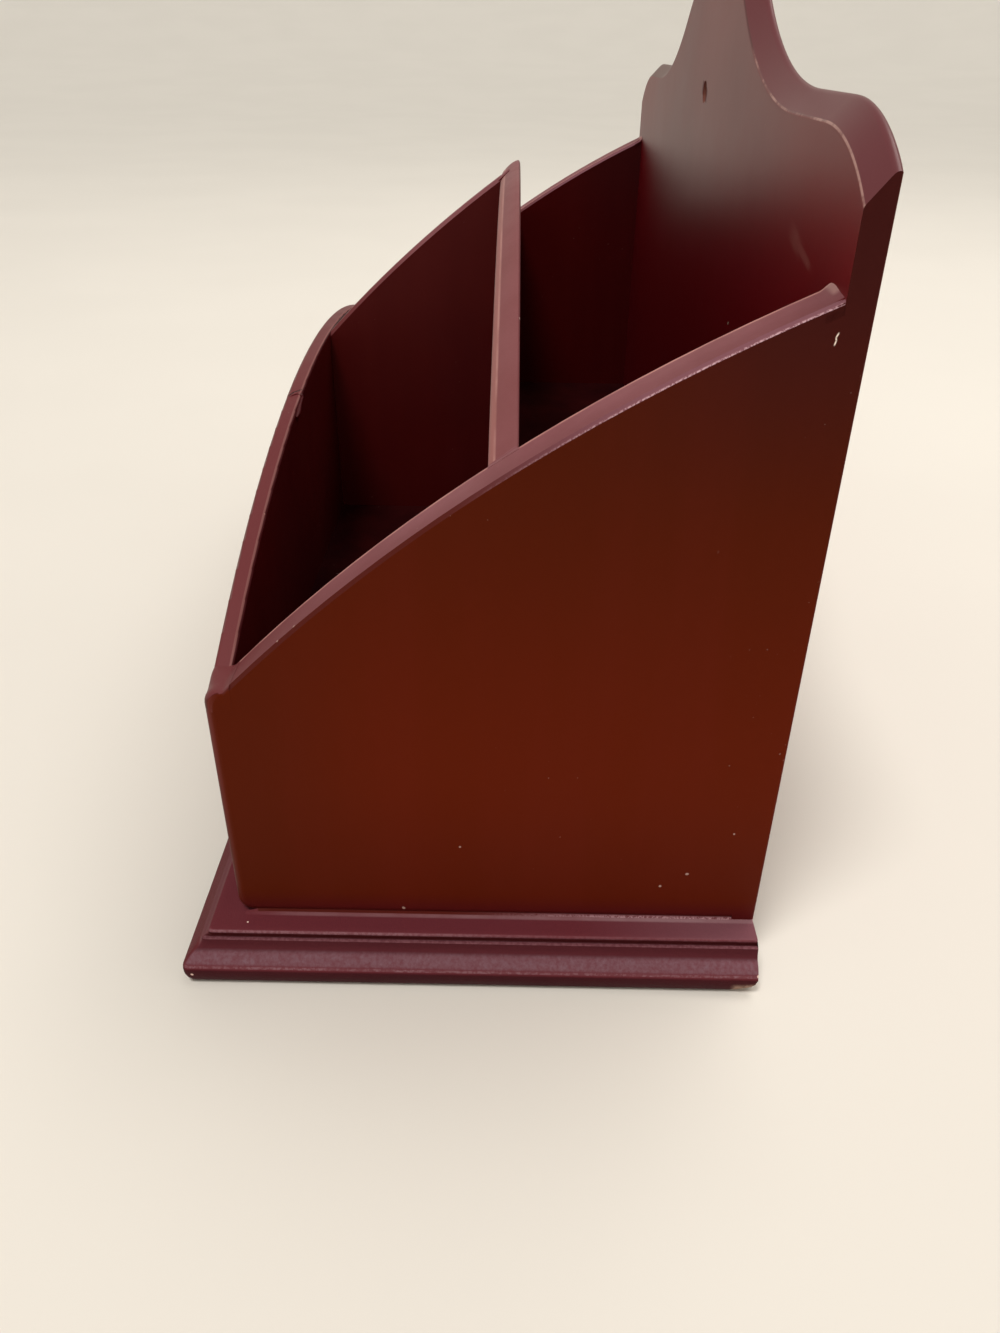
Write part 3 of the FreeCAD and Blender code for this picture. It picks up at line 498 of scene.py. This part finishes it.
# the pocket floors: dark as painted shade
FLOOR_PAINT = painted("pocket_paint", level=0.05, body=SHADED)
BASE_PAINT = painted("base_paint", marks=base_marks, level=0.15, body=PURPLE, gloss=(0.5, 0.62))
PINE = (colour(206, 168, 118), colour(176, 132, 84))
WOOD = bare_wood("bare_wood", *PINE, "X")
SIDE_WOOD = bare_wood("bare_wood_sides", *PINE, "Y")
BOARD = bare_wood("thin_board", colour(190, 150, 104), colour(158, 118, 76), "X")
STEEL = metal("steel", colour(190, 188, 184), colour(150, 148, 146), 0.28, 0.42)
BRASS = metal("brass", colour(214, 172, 96), colour(176, 132, 66), 0.2, 0.36)


def wear(material, *names):
    """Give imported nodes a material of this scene."""
    for name in names:
        slots = nodes[name].data.materials
        slots.clear()
        slots.append(material)


wear(PAINT, "drawer_front")
wear(FLOOR_PAINT, "pocket_floor")
wear(PARTITION_PAINT, "centre_partition")
wear(SIDE_PAINT, "right_side_panel", "left_side_panel")
wear(FRONT_PAINT, "front_panel")
wear(SIDE_WOOD, "drawer_right_side", "drawer_left_side")
wear(WOOD, "drawer_back")
wear(BOARD, "drawer_bottom")
wear(STEEL, "base_screws", "back_brads", "partition_brads", "right_side_brads",
     "left_side_brads", "drawer_brads", "knob_screw")

# ---------------------------------------------------------------- pieces


def add_piece(name, mesh, material, body):
    """A smooth-shaded piece of the scene, riding on a body."""
    for polygon in mesh.polygons:
        polygon.use_smooth = True
    piece = bpy.data.objects.new(name, mesh)
    bpy.context.scene.collection.objects.link(piece)
    mesh.materials.append(material)
    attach(piece, body)
    return piece


def paint_ends(piece, steep, beyond=0.0):
    """Paint the faces that look sideways as the end boards are, where they lie beyond a width."""
    piece.data.materials.append(SIDE_PAINT)
    for polygon in piece.data.polygons:
        if abs(polygon.normal.x) > steep and abs(polygon.center.x) > beyond * MM:
            polygon.material_index = 1


def bridge(work, rings):
    """Faces between each ring of points and the next."""
    for first, second in zip(rings, rings[1:]):
        for step in range(len(first)):
            after = (step + 1) % len(first)
            work.faces.new((first[step], first[after], second[after], second[step]))


def finished(work, name, split=False):
    """The skin as a mesh that faces outwards; split cuts its many-cornered faces to triangles."""
    if split:
        bmesh.ops.triangulate(work, faces=[face for face in work.faces if len(face.verts) > 4])
    bmesh.ops.recalc_face_normals(work, faces=work.faces)
    mesh = bpy.data.meshes.new(name)
    work.to_mesh(mesh)
    work.free()
    return mesh


def spread(low, high, steps, power=1.0):
    """Values from low to high, closer together near low where power is above 1."""
    return [low + (high - low) * (step / steps) ** power for step in range(steps + 1)]


def smooth_step(value):
    """0 up to 0, 1 from 1 on, and an even curve between them."""
    value = min(1.0, max(0.0, value))
    return value * value * (3 - 2 * value)


def arc_run(centre, radius, start, end, steps):
    """Points on an arc, with angles in degrees."""
    angles = [math.radians(start + (end - start) * step / steps) for step in range(steps + 1)]
    return [(centre[0] + radius * math.cos(a), centre[1] + radius * math.sin(a)) for a in angles]


def lathe(name, profile, place):
    """A solid turned about a line along Y: the profile gives distance out from place and radius."""
    work = bmesh.new()
    rings = []
    for out, radius in profile:
        angles = [math.tau * step / KNOB_STEPS for step in range(KNOB_STEPS)]
        spokes = [Vector((radius * math.cos(a), -out, radius * math.sin(a))) for a in angles]
        rings.append([work.verts.new((Vector(place) + spoke) * MM) for spoke in spokes])
    bridge(work, rings)
    work.faces.new(rings[0])
    work.faces.new(rings[-1][::-1])
    return finished(work, name)


# The knob: distance out from the drawer's front, and radius.
KNOB_STEPS = 64
KNOB_PROFILE = [
    (0.0, 1.8), (0.0, 4.3), (0.15, 4.65), (0.5, 4.8), (0.95, 4.8), (1.25, 4.65), (1.4, 4.3),
    (1.5, 3.6), (1.8, 3.3), (2.6, 3.12), (4.0, 3.1), (5.0, 3.2), (6.0, 3.6), (7.2, 4.45),
    (8.4, 5.45), (9.4, 6.3), (10.1, 6.75), (10.7, 6.95), (11.2, 7.0), (11.7, 6.95),
    (12.1, 6.7), (12.6, 6.2), (13.1, 5.5), (13.5, 4.6), (13.8, 3.4), (13.95, 2.0), (14.0, 0.6),
]
knob_low, knob_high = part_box("knob")
knob_place = (0.0, FRONT, (knob_low[2] + knob_high[2]) / 2 / MM)
knob_mesh = lathe("knob_turned", KNOB_PROFILE, knob_place)
knob = add_piece("knob_turned", knob_mesh, BRASS, "drawer")
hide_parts("knob")

# The base's edge from its top face down: distance out from the case, and height.
TOP_FLAT = [(-12.0, BASE_TOP), (-1.0, BASE_TOP), (2.0, BASE_TOP), (3.4, BASE_TOP)]
LIP = [(4.4, BASE_TOP), (4.65, 9.53), (4.83, 9.35), (4.9, 9.1), (4.9, 8.6)]
QUIRK = [(4.93, 8.4), (5.05, 8.3), (5.2, 8.4), (5.35, 8.56), (5.55, 8.6), (5.95, 8.6), (6.06, 8.52)]
COVE = [(6.1, 8.2), (6.2, 7.7), (6.38, 7.1), (6.6, 6.7), (6.9, 6.4)]
NOSE = [(7.5, 6.12), (8.1, 5.7), (8.6, 5.2), (9.05, 4.5), (9.3, 3.9), (9.45, 3.5), (9.5, 3.1)]
FOOT = [(9.48, 2.5), (9.4, 1.9), (9.2, 1.2), (8.9, 0.55), (8.65, 0.22), (8.3, 0.0)]
UNDERSIDE = [(7.4, 0.0), (6.2, 0.0), (4.0, 0.0), (-12.0, 0.0)]
MOULDING = TOP_FLAT + LIP + QUIRK + COVE + NOSE + FOOT + UNDERSIDE
MOULDING_REACH = 9.5
SIDE_STEPS = 70
FRONT_STEPS = 120
CORNER_STEPS = 8


def front_height(out, height):
    """The same edge along the front, where paint has filled the quirk and most of the cove."""
    if out > 4.5 and height > 4.0:
        return max(height, 9.55 - (out - 4.5) * 1.02)
    if height > 4.0:
        return height
    return height + (0.5 if height > 3.4 else 0.25 if height > 3.0 else 0.0)


def base_run(out, height):
    """The base's edge at one place on its section: back right, round the front, to back left."""
    bend = 0.5 + 0.9 * max(out, 0.0) / MOULDING_REACH
    side, near = HALF_WIDTH + out, FRONT - out
    straight = BACK - (near + bend)
    low = front_height(out, height)
    turn = [height + (low - height) * step / CORNER_STEPS for step in range(CORNER_STEPS + 1)]
    steps = [straight * (step / SIDE_STEPS) ** 1.3 for step in range(SIDE_STEPS + 1)]
    run = [(side, BACK - step, height) for step in steps[:-1]]
    corner = arc_run((side - bend, near + bend), bend, 0, -90, CORNER_STEPS)
    run += [(x, y, z) for (x, y), z in zip(corner, turn)]
    width = 2 * (side - bend)
    run += [(side - bend - width * step / FRONT_STEPS, near, low) for step in range(1, FRONT_STEPS)]
    corner = arc_run((bend - side, near + bend), bend, -90, -180, CORNER_STEPS)
    run += [(x, y, z) for (x, y), z in zip(corner, reversed(turn))]
    return run + [(-side, BACK - step, height) for step in reversed(steps[:-1])]


# The rubbed back right corner's length and height, and the chip lost from the front right one.
RUB_LENGTH, RUB_HEIGHT = 8.0, 3.7
LOST_CHIP = Vector((143.4, -50.9, 2.4))


def knocked(place):
    """Wear on the base's shape: uneven paint, a rubbed back corner and a small lost chip."""
    x, y, z = place
    spot = Vector(place)
    outward = Vector((math.copysign(1, x) if abs(x) > HALF_WIDTH else 0, -1 if y < FRONT else 0, 0))
    if outward.length and 0.3 < z < 9.4:
        uneven = field.noise(spot * 0.35) * 0.06 + field.noise(spot * 1.7) * 0.035
        spot -= outward.normalized() * (abs(uneven) + 0.01)
    along = min(max((spot.y - BACK + RUB_LENGTH) / RUB_LENGTH, 0.0), 1.0)
    lift = RUB_HEIGHT * (1 - math.sqrt(1 - along ** 2))
    spot.z = max(spot.z, lift * smooth_step((spot.x - HALF_WIDTH - 5) / 3.2))
    chip = (spot - LOST_CHIP).length
    if chip < 1.0:
        spot += Vector((-0.25, 0.25, 0.0)) * (1.0 - chip)
    return spot * MM


def make_base():
    """The moulded base as one closed skin, with its edge swept round the front and both ends."""
    work = bmesh.new()
    rings = [
        [work.verts.new(knocked(spot)) for spot in base_run(out, height)]
        for out, height in MOULDING
    ]
    for upper, lower in zip(rings, rings[1:]):
        for step in range(len(upper) - 1):
            work.faces.new((upper[step], lower[step], lower[step + 1], upper[step + 1]))
    work.faces.new(rings[0])
    work.faces.new(rings[-1])
    work.faces.new([ring[0] for ring in rings] + [ring[-1] for ring in reversed(rings)])
    return finished(work, "base_moulded", split=True)


HOLE_STEPS = 32


def drill(mesh, holes):
    """The mesh with holes: each a centre line of points with a radius at each, in millimetres."""
    cutter = bmesh.new()
    for hole in holes:
        start, end = Vector(hole[0][:3]), Vector(hole[-1][:3])
        turn = (end - start).to_track_quat("Z", "Y")
        loops = []
        for x, y, z, radius in hole:
            angles = [math.tau * step / HOLE_STEPS for step in range(HOLE_STEPS)]
            spokes = [Vector((radius * math.cos(a), radius * math.sin(a), 0)) for a in angles]
            centre = Vector((x, y, z))
            loops.append([cutter.verts.new((centre + turn @ spoke) * MM) for spoke in spokes])
        bridge(cutter, loops)
        cutter.faces.new(loops[0][::-1])
        cutter.faces.new(loops[-1])
    tool_mesh = bpy.data.meshes.new("holes")
    cutter.to_mesh(tool_mesh)
    cutter.free()
    blank = bpy.data.objects.new("blank", mesh)
    tool = bpy.data.objects.new("holes", tool_mesh)
    for item in (blank, tool):
        bpy.context.scene.collection.objects.link(item)
    cut = blank.modifiers.new("cut", "BOOLEAN")
    cut.operation, cut.object, cut.solver = "DIFFERENCE", tool, "EXACT"
    view = bpy.context.evaluated_depsgraph_get()
    result = bpy.data.meshes.new_from_object(blank.evaluated_get(view))
    for item in (blank, tool):
        bpy.data.objects.remove(item)
    return result


# Countersunk from below; each hole stops inside the base, under the end board.
HEAD_RADIUS, SHANK_RADIUS = 3.45, 1.8
SCREW_HOLES = [
    [(x, y, -1.0, HEAD_RADIUS + 1.0), (x, y, HEAD_RADIUS - SHANK_RADIUS, SHANK_RADIUS),
     (x, y, 9.0, SHANK_RADIUS)]
    for x in (129.0, -129.0) for y in (-25.25, 34.95)
]

base_mesh = drill(make_base(), SCREW_HOLES)
base = add_piece("base_moulded", base_mesh, BASE_PAINT, "case")
base.data.set_sharp_from_angle(angle=math.radians(38))
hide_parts("base_plate")


def paint_bead(name, points, material):
    """A run of set paint: a round bead through points, each with its own radius, in millimetres."""
    curve = bpy.data.curves.new(name, "CURVE")
    curve.dimensions = "3D"
    curve.bevel_depth = MM
    curve.bevel_resolution = 5
    curve.use_fill_caps = True
    line = curve.splines.new("NURBS")
    line.points.add(len(points) - 1)
    for point, (x, y, z, radius) in zip(line.points, points):
        point.co = (x * MM, y * MM, z * MM, 1.0)
        point.radius = radius
    line.order_u = 3
    line.use_endpoint_u = True
    line.resolution_u = 10
    shape = bpy.data.objects.new(name, curve)
    bpy.context.scene.collection.objects.link(shape)
    view = bpy.context.evaluated_depsgraph_get()
    mesh = bpy.data.meshes.new_from_object(shape.evaluated_get(view))
    bpy.data.objects.remove(shape)
    mesh.name = name
    return add_piece(name, mesh, material, "case")


# The arc of the end boards' tops: its radius, and its centre seen from the side.
ARC_RADIUS, ARC_Y, ARC_Z = 310.0, 181.87, -156.0


def strip_height(y):
    """The height of an end board's arched top at one place from front to back."""
    return ARC_Z + math.sqrt(ARC_RADIUS ** 2 - (y - ARC_Y) ** 2)


def make_patch(name, grid, hand, depth=None, bottom=None):
    """A closed skin of set paint: a grid of top points over an underside buried in the wood.

    The underside lies depth below the top, or level at the height bottom.
    """
    work = bmesh.new()
    upper = [[work.verts.new(Vector((x * hand, y, z)) * MM) for x, y, z in row] for row in grid]
    lower = [
        [work.verts.new(Vector((x * hand, y, bottom if depth is None else z - depth)) * MM)
         for x, y, z in row]
        for row in grid
    ]
    across, deep = len(grid) - 1, len(grid[0]) - 1
    for i in range(across):
        for j in range(deep):
            for side in (upper, lower):
                work.faces.new((side[i][j], side[i + 1][j], side[i + 1][j + 1], side[i][j + 1]))
        for j in (0, deep):
            work.faces.new((upper[i][j], upper[i + 1][j], lower[i + 1][j], lower[i][j]))
    for j in range(deep):
        for i in (0, across):
            work.faces.new((upper[i][j], upper[i][j + 1], lower[i][j + 1], lower[i][j]))
    mesh = finished(work, name)
    mesh.set_sharp_from_angle(angle=math.radians(50))
    return mesh


# How far the paint's skin stands proud of the wood, and how it rounds corners and edges.
PROUD = 0.02
CORNER_ROUND, EDGE_ROUND = 2.0, 0.7


def corner_grid():
    """The front's top edge running on over an end board's corner, level and then rounded down."""
    grid = []
    stations = [INNER_HALF - 0.3, INNER_HALF + 0.1] + spread(125.2, 131.5, 8)
    stations += [132.0, 132.5, 132.9, 133.15, 133.35, 133.47, 133.52]
    for x in stations:
        bend = min(max(x - HALF_WIDTH + CORNER_ROUND, 0.0), CORNER_ROUND - PROUD)
        near = FRONT - PROUD + CORNER_ROUND - math.sqrt(CORNER_ROUND ** 2 - bend * bend)
        far = FRONT_INSIDE - PROUD if x < INNER_HALF else -38.2
        soft = 0.7 + 2.3 * smooth_step((x - 125) / 6)
        level = FRONT_TOP + 0.05 * (x - INNER_HALF)
        outer = min(max(x - HALF_WIDTH + EDGE_ROUND, 0.0), EDGE_ROUND)
        row = []
        for y in spread(near, far, 16, 1.4):
            top = level
            if x > INNER_HALF:
                inner = max(0.0, INNER_HALF + EDGE_ROUND - x)
                top = max(level, strip_height(y) + PROUD - inner)
            ahead = max(0.0, soft - (y - near))
            top -= soft - math.sqrt(soft * soft - ahead * ahead)
            top -= EDGE_ROUND - math.sqrt(EDGE_ROUND ** 2 - outer * outer)
            row.append((x, y, top))
        grid.append(row)
    return grid


def strip_end_grid():
    """Paint drawn up where an end board's strip runs into the back board."""
    grid = []
    stations = spread(124.5, 125.5, 3) + spread(126.5, 131.5, 5)
    stations += [132.3, 132.8, 133.2, 133.42, 133.5]
    for x in stations:
        outer = min(max(x - HALF_WIDTH + 1.0, 0.0), 1.0)
        inner = max(0.0, INNER_HALF + EDGE_ROUND - x)
        lift = 0.1 + 0.6 * math.exp(-((x - 127.0) / 3.2) ** 2)
        row = []
        for y in spread(50.6, 53.0, 16):
            top = strip_height(y) - 0.03 - inner + lift * smooth_step((y - 50.8) / 2.2) ** 2
            row.append((x, y, top - 1.0 + math.sqrt(1.0 - outer * outer)))
        grid.append(row)
    return grid


def foot_joint_grid():
    """A small cove of paint between an end board's foot and the base."""
    section = [(-0.3, 1.0), (-0.12, 0.72), (0.02, 0.45), (0.17, 0.26), (0.38, 0.12), (0.65, 0.02)]
    return [
        [(HALF_WIDTH + out, y, BASE_TOP + rise * smooth_step((y + 42.2) / 3.5))
         for y in spread(-41.8, 57.15, 40)]
        for out, rise in section
    ]


# The divider's arch, seen from the front.
ARCH_RADIUS = 290.8
DIVIDER_CROWN = 128.16


def divider_top(x, y):
    """The divider's top edge: planed along the end boards' arches, rounder at its crown."""
    level = DIVIDER_CROWN - ARCH_RADIUS + math.sqrt(ARCH_RADIUS ** 2 - x * x)
    share = (y - DIVIDER_FRONT) / (DIVIDER_BACK - DIVIDER_FRONT)
    share = min(1.0, max(0.0, share))
    plain = 3.7 * share - 2.4
    round_over = 3.35 * math.sin(share * math.pi / 2) ** 0.9 - 2.65
    crown = 1 - (x / INNER_HALF) ** 2
    # the front and back arrises, lowered by wear
    arris_term = 0.7 * max(0.0, (share - 0.9) / 0.1) ** 2 + 0.25 * max(0.0, 1 - share / 0.06)
    return level + plain + (round_over - plain) * crown - arris_term


def make_divider():
    """The divider as one closed skin, from the floor of the pockets to its planed top edge."""
    shares = [0.0, 0.03, 0.08, 0.15, 0.25, 0.37, 0.5, 0.63, 0.76, 0.86, 0.92, 0.96, 0.985, 1.0]
    work = bmesh.new()
    rings = []
    for x in spread(-INNER_HALF, INNER_HALF, 96):
        ring = [(DIVIDER_FRONT, FLOOR_TOP)]
        for share in shares:
            y = DIVIDER_FRONT + (DIVIDER_BACK - DIVIDER_FRONT) * share
            ring.append((y, divider_top(x, y)))
        ring.append((DIVIDER_BACK, FLOOR_TOP))
        rings.append([work.verts.new(Vector((x, y, z)) * MM) for y, z in ring])
    bridge(work, rings)
    work.faces.new(rings[0])
    work.faces.new(rings[-1])
    mesh = finished(work, "divider_planed")
    mesh.set_sharp_from_angle(angle=math.radians(40))
    return mesh


divider = add_piece("divider_planed", make_divider(), DIVIDER_PAINT, "case")
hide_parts("divider")


def divider_joint_grid():
    """Paint over the joint between the divider's end and an end board's arched top edge."""
    grid = []
    for x in (123.6, 124.0, 124.4, 124.7, 125.0, 125.3, 125.6, 125.9):
        joined = smooth_step((x - 124.2) / 1.0)
        row = []
        for y in spread(DIVIDER_FRONT - 0.03, DIVIDER_BACK + 0.03, 12):
            low = divider_top(min(x, INNER_HALF), y)
            high = strip_height(y)
            sunk = 0.3 * max(0.0, abs(x - 124.75) - 0.75) ** 2
            row.append((x, y, low + (high - low) * joined + 0.05 - sunk))
        grid.append(row)
    return grid


# The partition's top where it meets the divider, and half the width of the paint drawn up there.
PARTITION_TOP, TAIL_HALF = 126.5, 1.7


def partition_tail_grid():
    """The partition's top edge running on a little way up the divider."""
    grid = []
    for x in (-1.7, -1.4, -1.0, -0.5, 0.0, 0.5, 1.0, 1.4, 1.7):
        grid.append([
            (x, y, PARTITION_TOP + 0.88 * (y - DIVIDER_FRONT) - 0.45 * (x / TAIL_HALF) ** 4)
            for y in spread(DIVIDER_FRONT - 0.5, 6.9, 8)
        ])
    return grid


# The crest of the back board, in millimetres: shoulder, level ledge, sweep and crown.
LEDGE = 148.8
SHOULDER_RUN, SHOULDER_DROP = 24.5, 7.4
SHOULDER_RADIUS = (SHOULDER_RUN ** 2 + SHOULDER_DROP ** 2) / (2 * SHOULDER_DROP)
SWEEP_START, SWEEP_RADIUS = 89.1, 90.0
CROWN_TOP = 175.6
CROWN_RADIUS = (
    (SWEEP_START ** 2 + (LEDGE + SWEEP_RADIUS - CROWN_TOP) ** 2 - SWEEP_RADIUS ** 2)
    / (2 * (CROWN_TOP - LEDGE))
)


def crest_half(inset):
    """Half of the crest's outline, pulled in by inset: from the right edge to the crown."""
    shoulder_x = HALF_WIDTH - SHOULDER_RUN
    shoulder = (shoulder_x, LEDGE - SHOULDER_RADIUS)
    start = math.degrees(math.acos(SHOULDER_RUN / (SHOULDER_RADIUS - inset)))
    points = arc_run(shoulder, SHOULDER_RADIUS - inset, start, 90, 16)
    points += [(x, LEDGE - inset) for x in (104.0, 97.0)]
    sweep = (SWEEP_START, LEDGE + SWEEP_RADIUS)
    crown = (0.0, CROWN_TOP - CROWN_RADIUS)
    lean = math.degrees(math.atan2(sweep[1] - crown[1], sweep[0]))
    points += arc_run(sweep, SWEEP_RADIUS + inset, -90, lean - 180, 20)
    return points + arc_run(crown, CROWN_RADIUS - inset, lean, 90, 14)[1:]


def make_back_board():
    """The back board: a bevel along the front of its crest, with every arris softened by paint."""
    # each row: its place from front to back, the crest's inset, and how far the ends are eased
    rows = [
        (BACK_FACE, 4.1, 0.0), (BACK_FACE, 3.75, 0.0), (BACK_FACE + 0.03, 3.55, 0.0),
        (BACK_FACE + 0.1, 3.38, 0.0), (BACK_FACE + 0.2, 3.24, 0.0), (BACK_FACE + 0.36, 3.06, 0.0),
        (BACK_FACE + 0.48, 2.94, 0.0), (BACK - 1.55, 0.63, 0.0), (BACK - 1.4, 0.48, 0.0),
        (BACK - 1.1, 0.2, 0.0), (BACK - 0.8, 0.05, 0.0), (BACK - 0.55, 0.0, 0.0),
        (BACK - 0.4, 0.0, 0.0), (BACK - 0.2, 0.05, 0.05), (BACK - 0.06, 0.16, 0.16),
        (BACK, 0.35, 0.35), (BACK, 0.6, 0.5),
    ]
    work = bmesh.new()
    rings = []
    for y, inset, eased in rows:
        half = crest_half(inset)
        half[0] = (HALF_WIDTH - eased, half[0][1])
        half = [(HALF_WIDTH - eased, BASE_TOP)] + half
        outline = half + [(-x, z) for x, z in reversed(half[:-1])]
        rings.append([work.verts.new(Vector((x, y, z)) * MM) for x, z in outline])
    bridge(work, rings)
    work.faces.new(rings[0])
    work.faces.new(rings[-1])
    return finished(work, "back_board_shaped", split=True)


HANGING_HOLE = [
    (0, BACK_FACE - 1.0, HOLE_HEIGHT, 3.2), (0, BACK_FACE + 1.2, HOLE_HEIGHT, 1.4),
    (0, BACK - 0.4, HOLE_HEIGHT, 2.2), (0, BACK + 1.0, HOLE_HEIGHT, 3.6),
]
board_mesh = drill(make_back_board(), [HANGING_HOLE])
board = add_piece("back_board_shaped", board_mesh, CREST_PAINT, "case")
board.data.set_sharp_from_angle(angle=math.radians(32))
paint_ends(board, 0.95, HALF_WIDTH - 0.1)
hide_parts("back_board")

# Paint at both ends of the case: name, top points, material, and where the underside lies.
PATCHES = [
    ("front_corner", corner_grid(), EDGE_PAINT, {"bottom": 57.0}),
    ("strip_end", strip_end_grid(), SIDE_PAINT, {"depth": 1.2}),
    ("divider_joint", divider_joint_grid(), EDGE_PAINT, {"depth": 1.4}),
    ("foot_joint", foot_joint_grid(), BASE_PAINT, {"bottom": 9.3}),
]
for hand, side_name in ((1, "right"), (-1, "left")):
    for name, grid, paint, under in PATCHES:
        piece_name = f"{name}_{side_name}"
        mesh = make_patch(piece_name, grid, hand, **under)
        patch = add_piece(piece_name, mesh, paint, "case")
        paint_ends(patch, 0.8)
tail_mesh = make_patch("partition_tail", partition_tail_grid(), 1, depth=2.5)
add_piece("partition_tail", tail_mesh, PARTITION_PAINT, "case")

paint_bead("front_crack_lip", [
    (46.4, -42.5, 84.75, 0.2), (45.8, -42.0, 85.0, 0.32), (45.0, -41.2, 85.15, 0.35),
    (44.9, -40.4, 85.1, 0.35), (45.2, -39.8, 84.8, 0.4), (45.4, -39.6, 84.2, 0.3),
], FRONT_PAINT)
paint_bead("front_drip", [
    (45.3, -39.7, 84.5, 0.3), (47.2, -39.65, 84.1, 0.25), (49.3, -39.65, 83.6, 0.4),
    (51.4, -39.6, 83.0, 0.6), (52.8, -39.65, 82.6, 0.5), (53.6, -39.75, 82.4, 0.2),
], FRONT_PAINT)

# ---------------------------------------------------------------- floor, light and camera

# The floor's rings: reach and height, in metres.
FLOOR_STEPS = 96
FLOOR_PROFILE = [
    (0.5, 0.0), (1.5, 0.0), (2.5, 0.01), (3.5, 0.1), (5.0, 0.5), (7.0, 1.6), (9.0, 3.4),
    (10.5, 5.6), (11.5, 8.0),
]


def make_floor():
    """A pale round floor that rises gently all round, far from the object."""
    angles = [math.tau * step / FLOOR_STEPS for step in range(FLOOR_STEPS)]
    work = bmesh.new()
    rings = [
        [work.verts.new((reach * math.cos(a), reach * math.sin(a), height)) for a in angles]
        for reach, height in FLOOR_PROFILE
    ]
    bridge(work, rings)
    work.faces.new(rings[0])
    mesh = finished(work, "floor")
    for polygon in mesh.polygons:
        polygon.use_smooth = True
    item = bpy.data.objects.new("floor", mesh)
    item.location = (0, 0, -0.0002)
    bpy.context.scene.collection.objects.link(item)
    return item


floor = make_floor()
floor.data.materials.append(floor_material())


def add_lamp(name, kind, toward):
    """A lamp that shines along a direction."""
    data = bpy.data.lights.new(name, kind)
    lamp = bpy.data.objects.new(name, data)
    lamp.rotation_mode = "QUATERNION"
    lamp.rotation_quaternion = Vector(toward).to_track_quat("-Z", "Y")
    bpy.context.scene.collection.objects.link(lamp)
    return lamp


def area_light(name, location, target, size, power, tint):
    """A rectangular lamp at a place, aimed at another."""
    lamp = add_lamp(name, "AREA", Vector(target) - Vector(location))
    lamp.location = location
    lamp.data.shape = "RECTANGLE"
    lamp.data.size, lamp.data.size_y = size
    lamp.data.energy = power
    lamp.data.color = tint


sun = add_lamp("key", "SUN", (-0.3, 0.22, -1.0)).data
sun.energy = 1.85
sun.angle = math.radians(16)
sun.color = (1.0, 0.96, 0.9)
area_light("top_fill", (-0.25, 0.4, 1.2), (0, -0.02, 0.05), (0.7, 0.7), 7.0, (1.0, 0.93, 0.86))
area_light("side_fill", (1.3, 0.0, 0.5), (0, 0, 0.06), (1.0, 0.5), 2.0, (1.0, 0.84, 0.7))

world = bpy.data.worlds.new("studio")
world.use_nodes = True
backdrop = world.node_tree.nodes["Background"]
backdrop.inputs["Color"].default_value = colour(232, 226, 216)
backdrop.inputs["Strength"].default_value = 0.3
bpy.context.scene.world = world
bpy.context.scene.view_settings.view_transform = "Standard"

# The camera: the focal length in pixels of a picture this high, its place and its three angles.
PICTURE_HEIGHT = 1333
FOCAL_PIXELS = 1001.89
SENSOR = 36.0
CAMERA_PLACE = Vector((273.5, 8.4, 154.7)) * MM
PITCH, YAW, ROLL = (math.radians(angle) for angle in (31.99, -0.4426, 0.726))


def make_camera():
    """The camera at the photograph's place; it looks along -X and down on the right end board."""
    forward = Vector((
        -math.cos(PITCH) * math.cos(YAW), math.cos(PITCH) * math.sin(YAW), -math.sin(PITCH),
    ))
    level = Vector((math.sin(YAW), math.cos(YAW), 0))
    steep = level.cross(forward)
    right = level * math.cos(ROLL) + steep * math.sin(ROLL)
    up = steep * math.cos(ROLL) - level * math.sin(ROLL)
    data = bpy.data.cameras.new("camera")
    data.sensor_width = SENSOR
    data.lens = SENSOR * FOCAL_PIXELS / PICTURE_HEIGHT
    data.clip_start, data.clip_end = 0.005, 50
    camera = bpy.data.objects.new("camera", data)
    turn = Matrix((right, up, -forward)).transposed().to_4x4()
    camera.matrix_world = Matrix.Translation(CAMERA_PLACE) @ turn
    bpy.context.scene.collection.objects.link(camera)
    bpy.context.scene.camera = camera


make_camera()
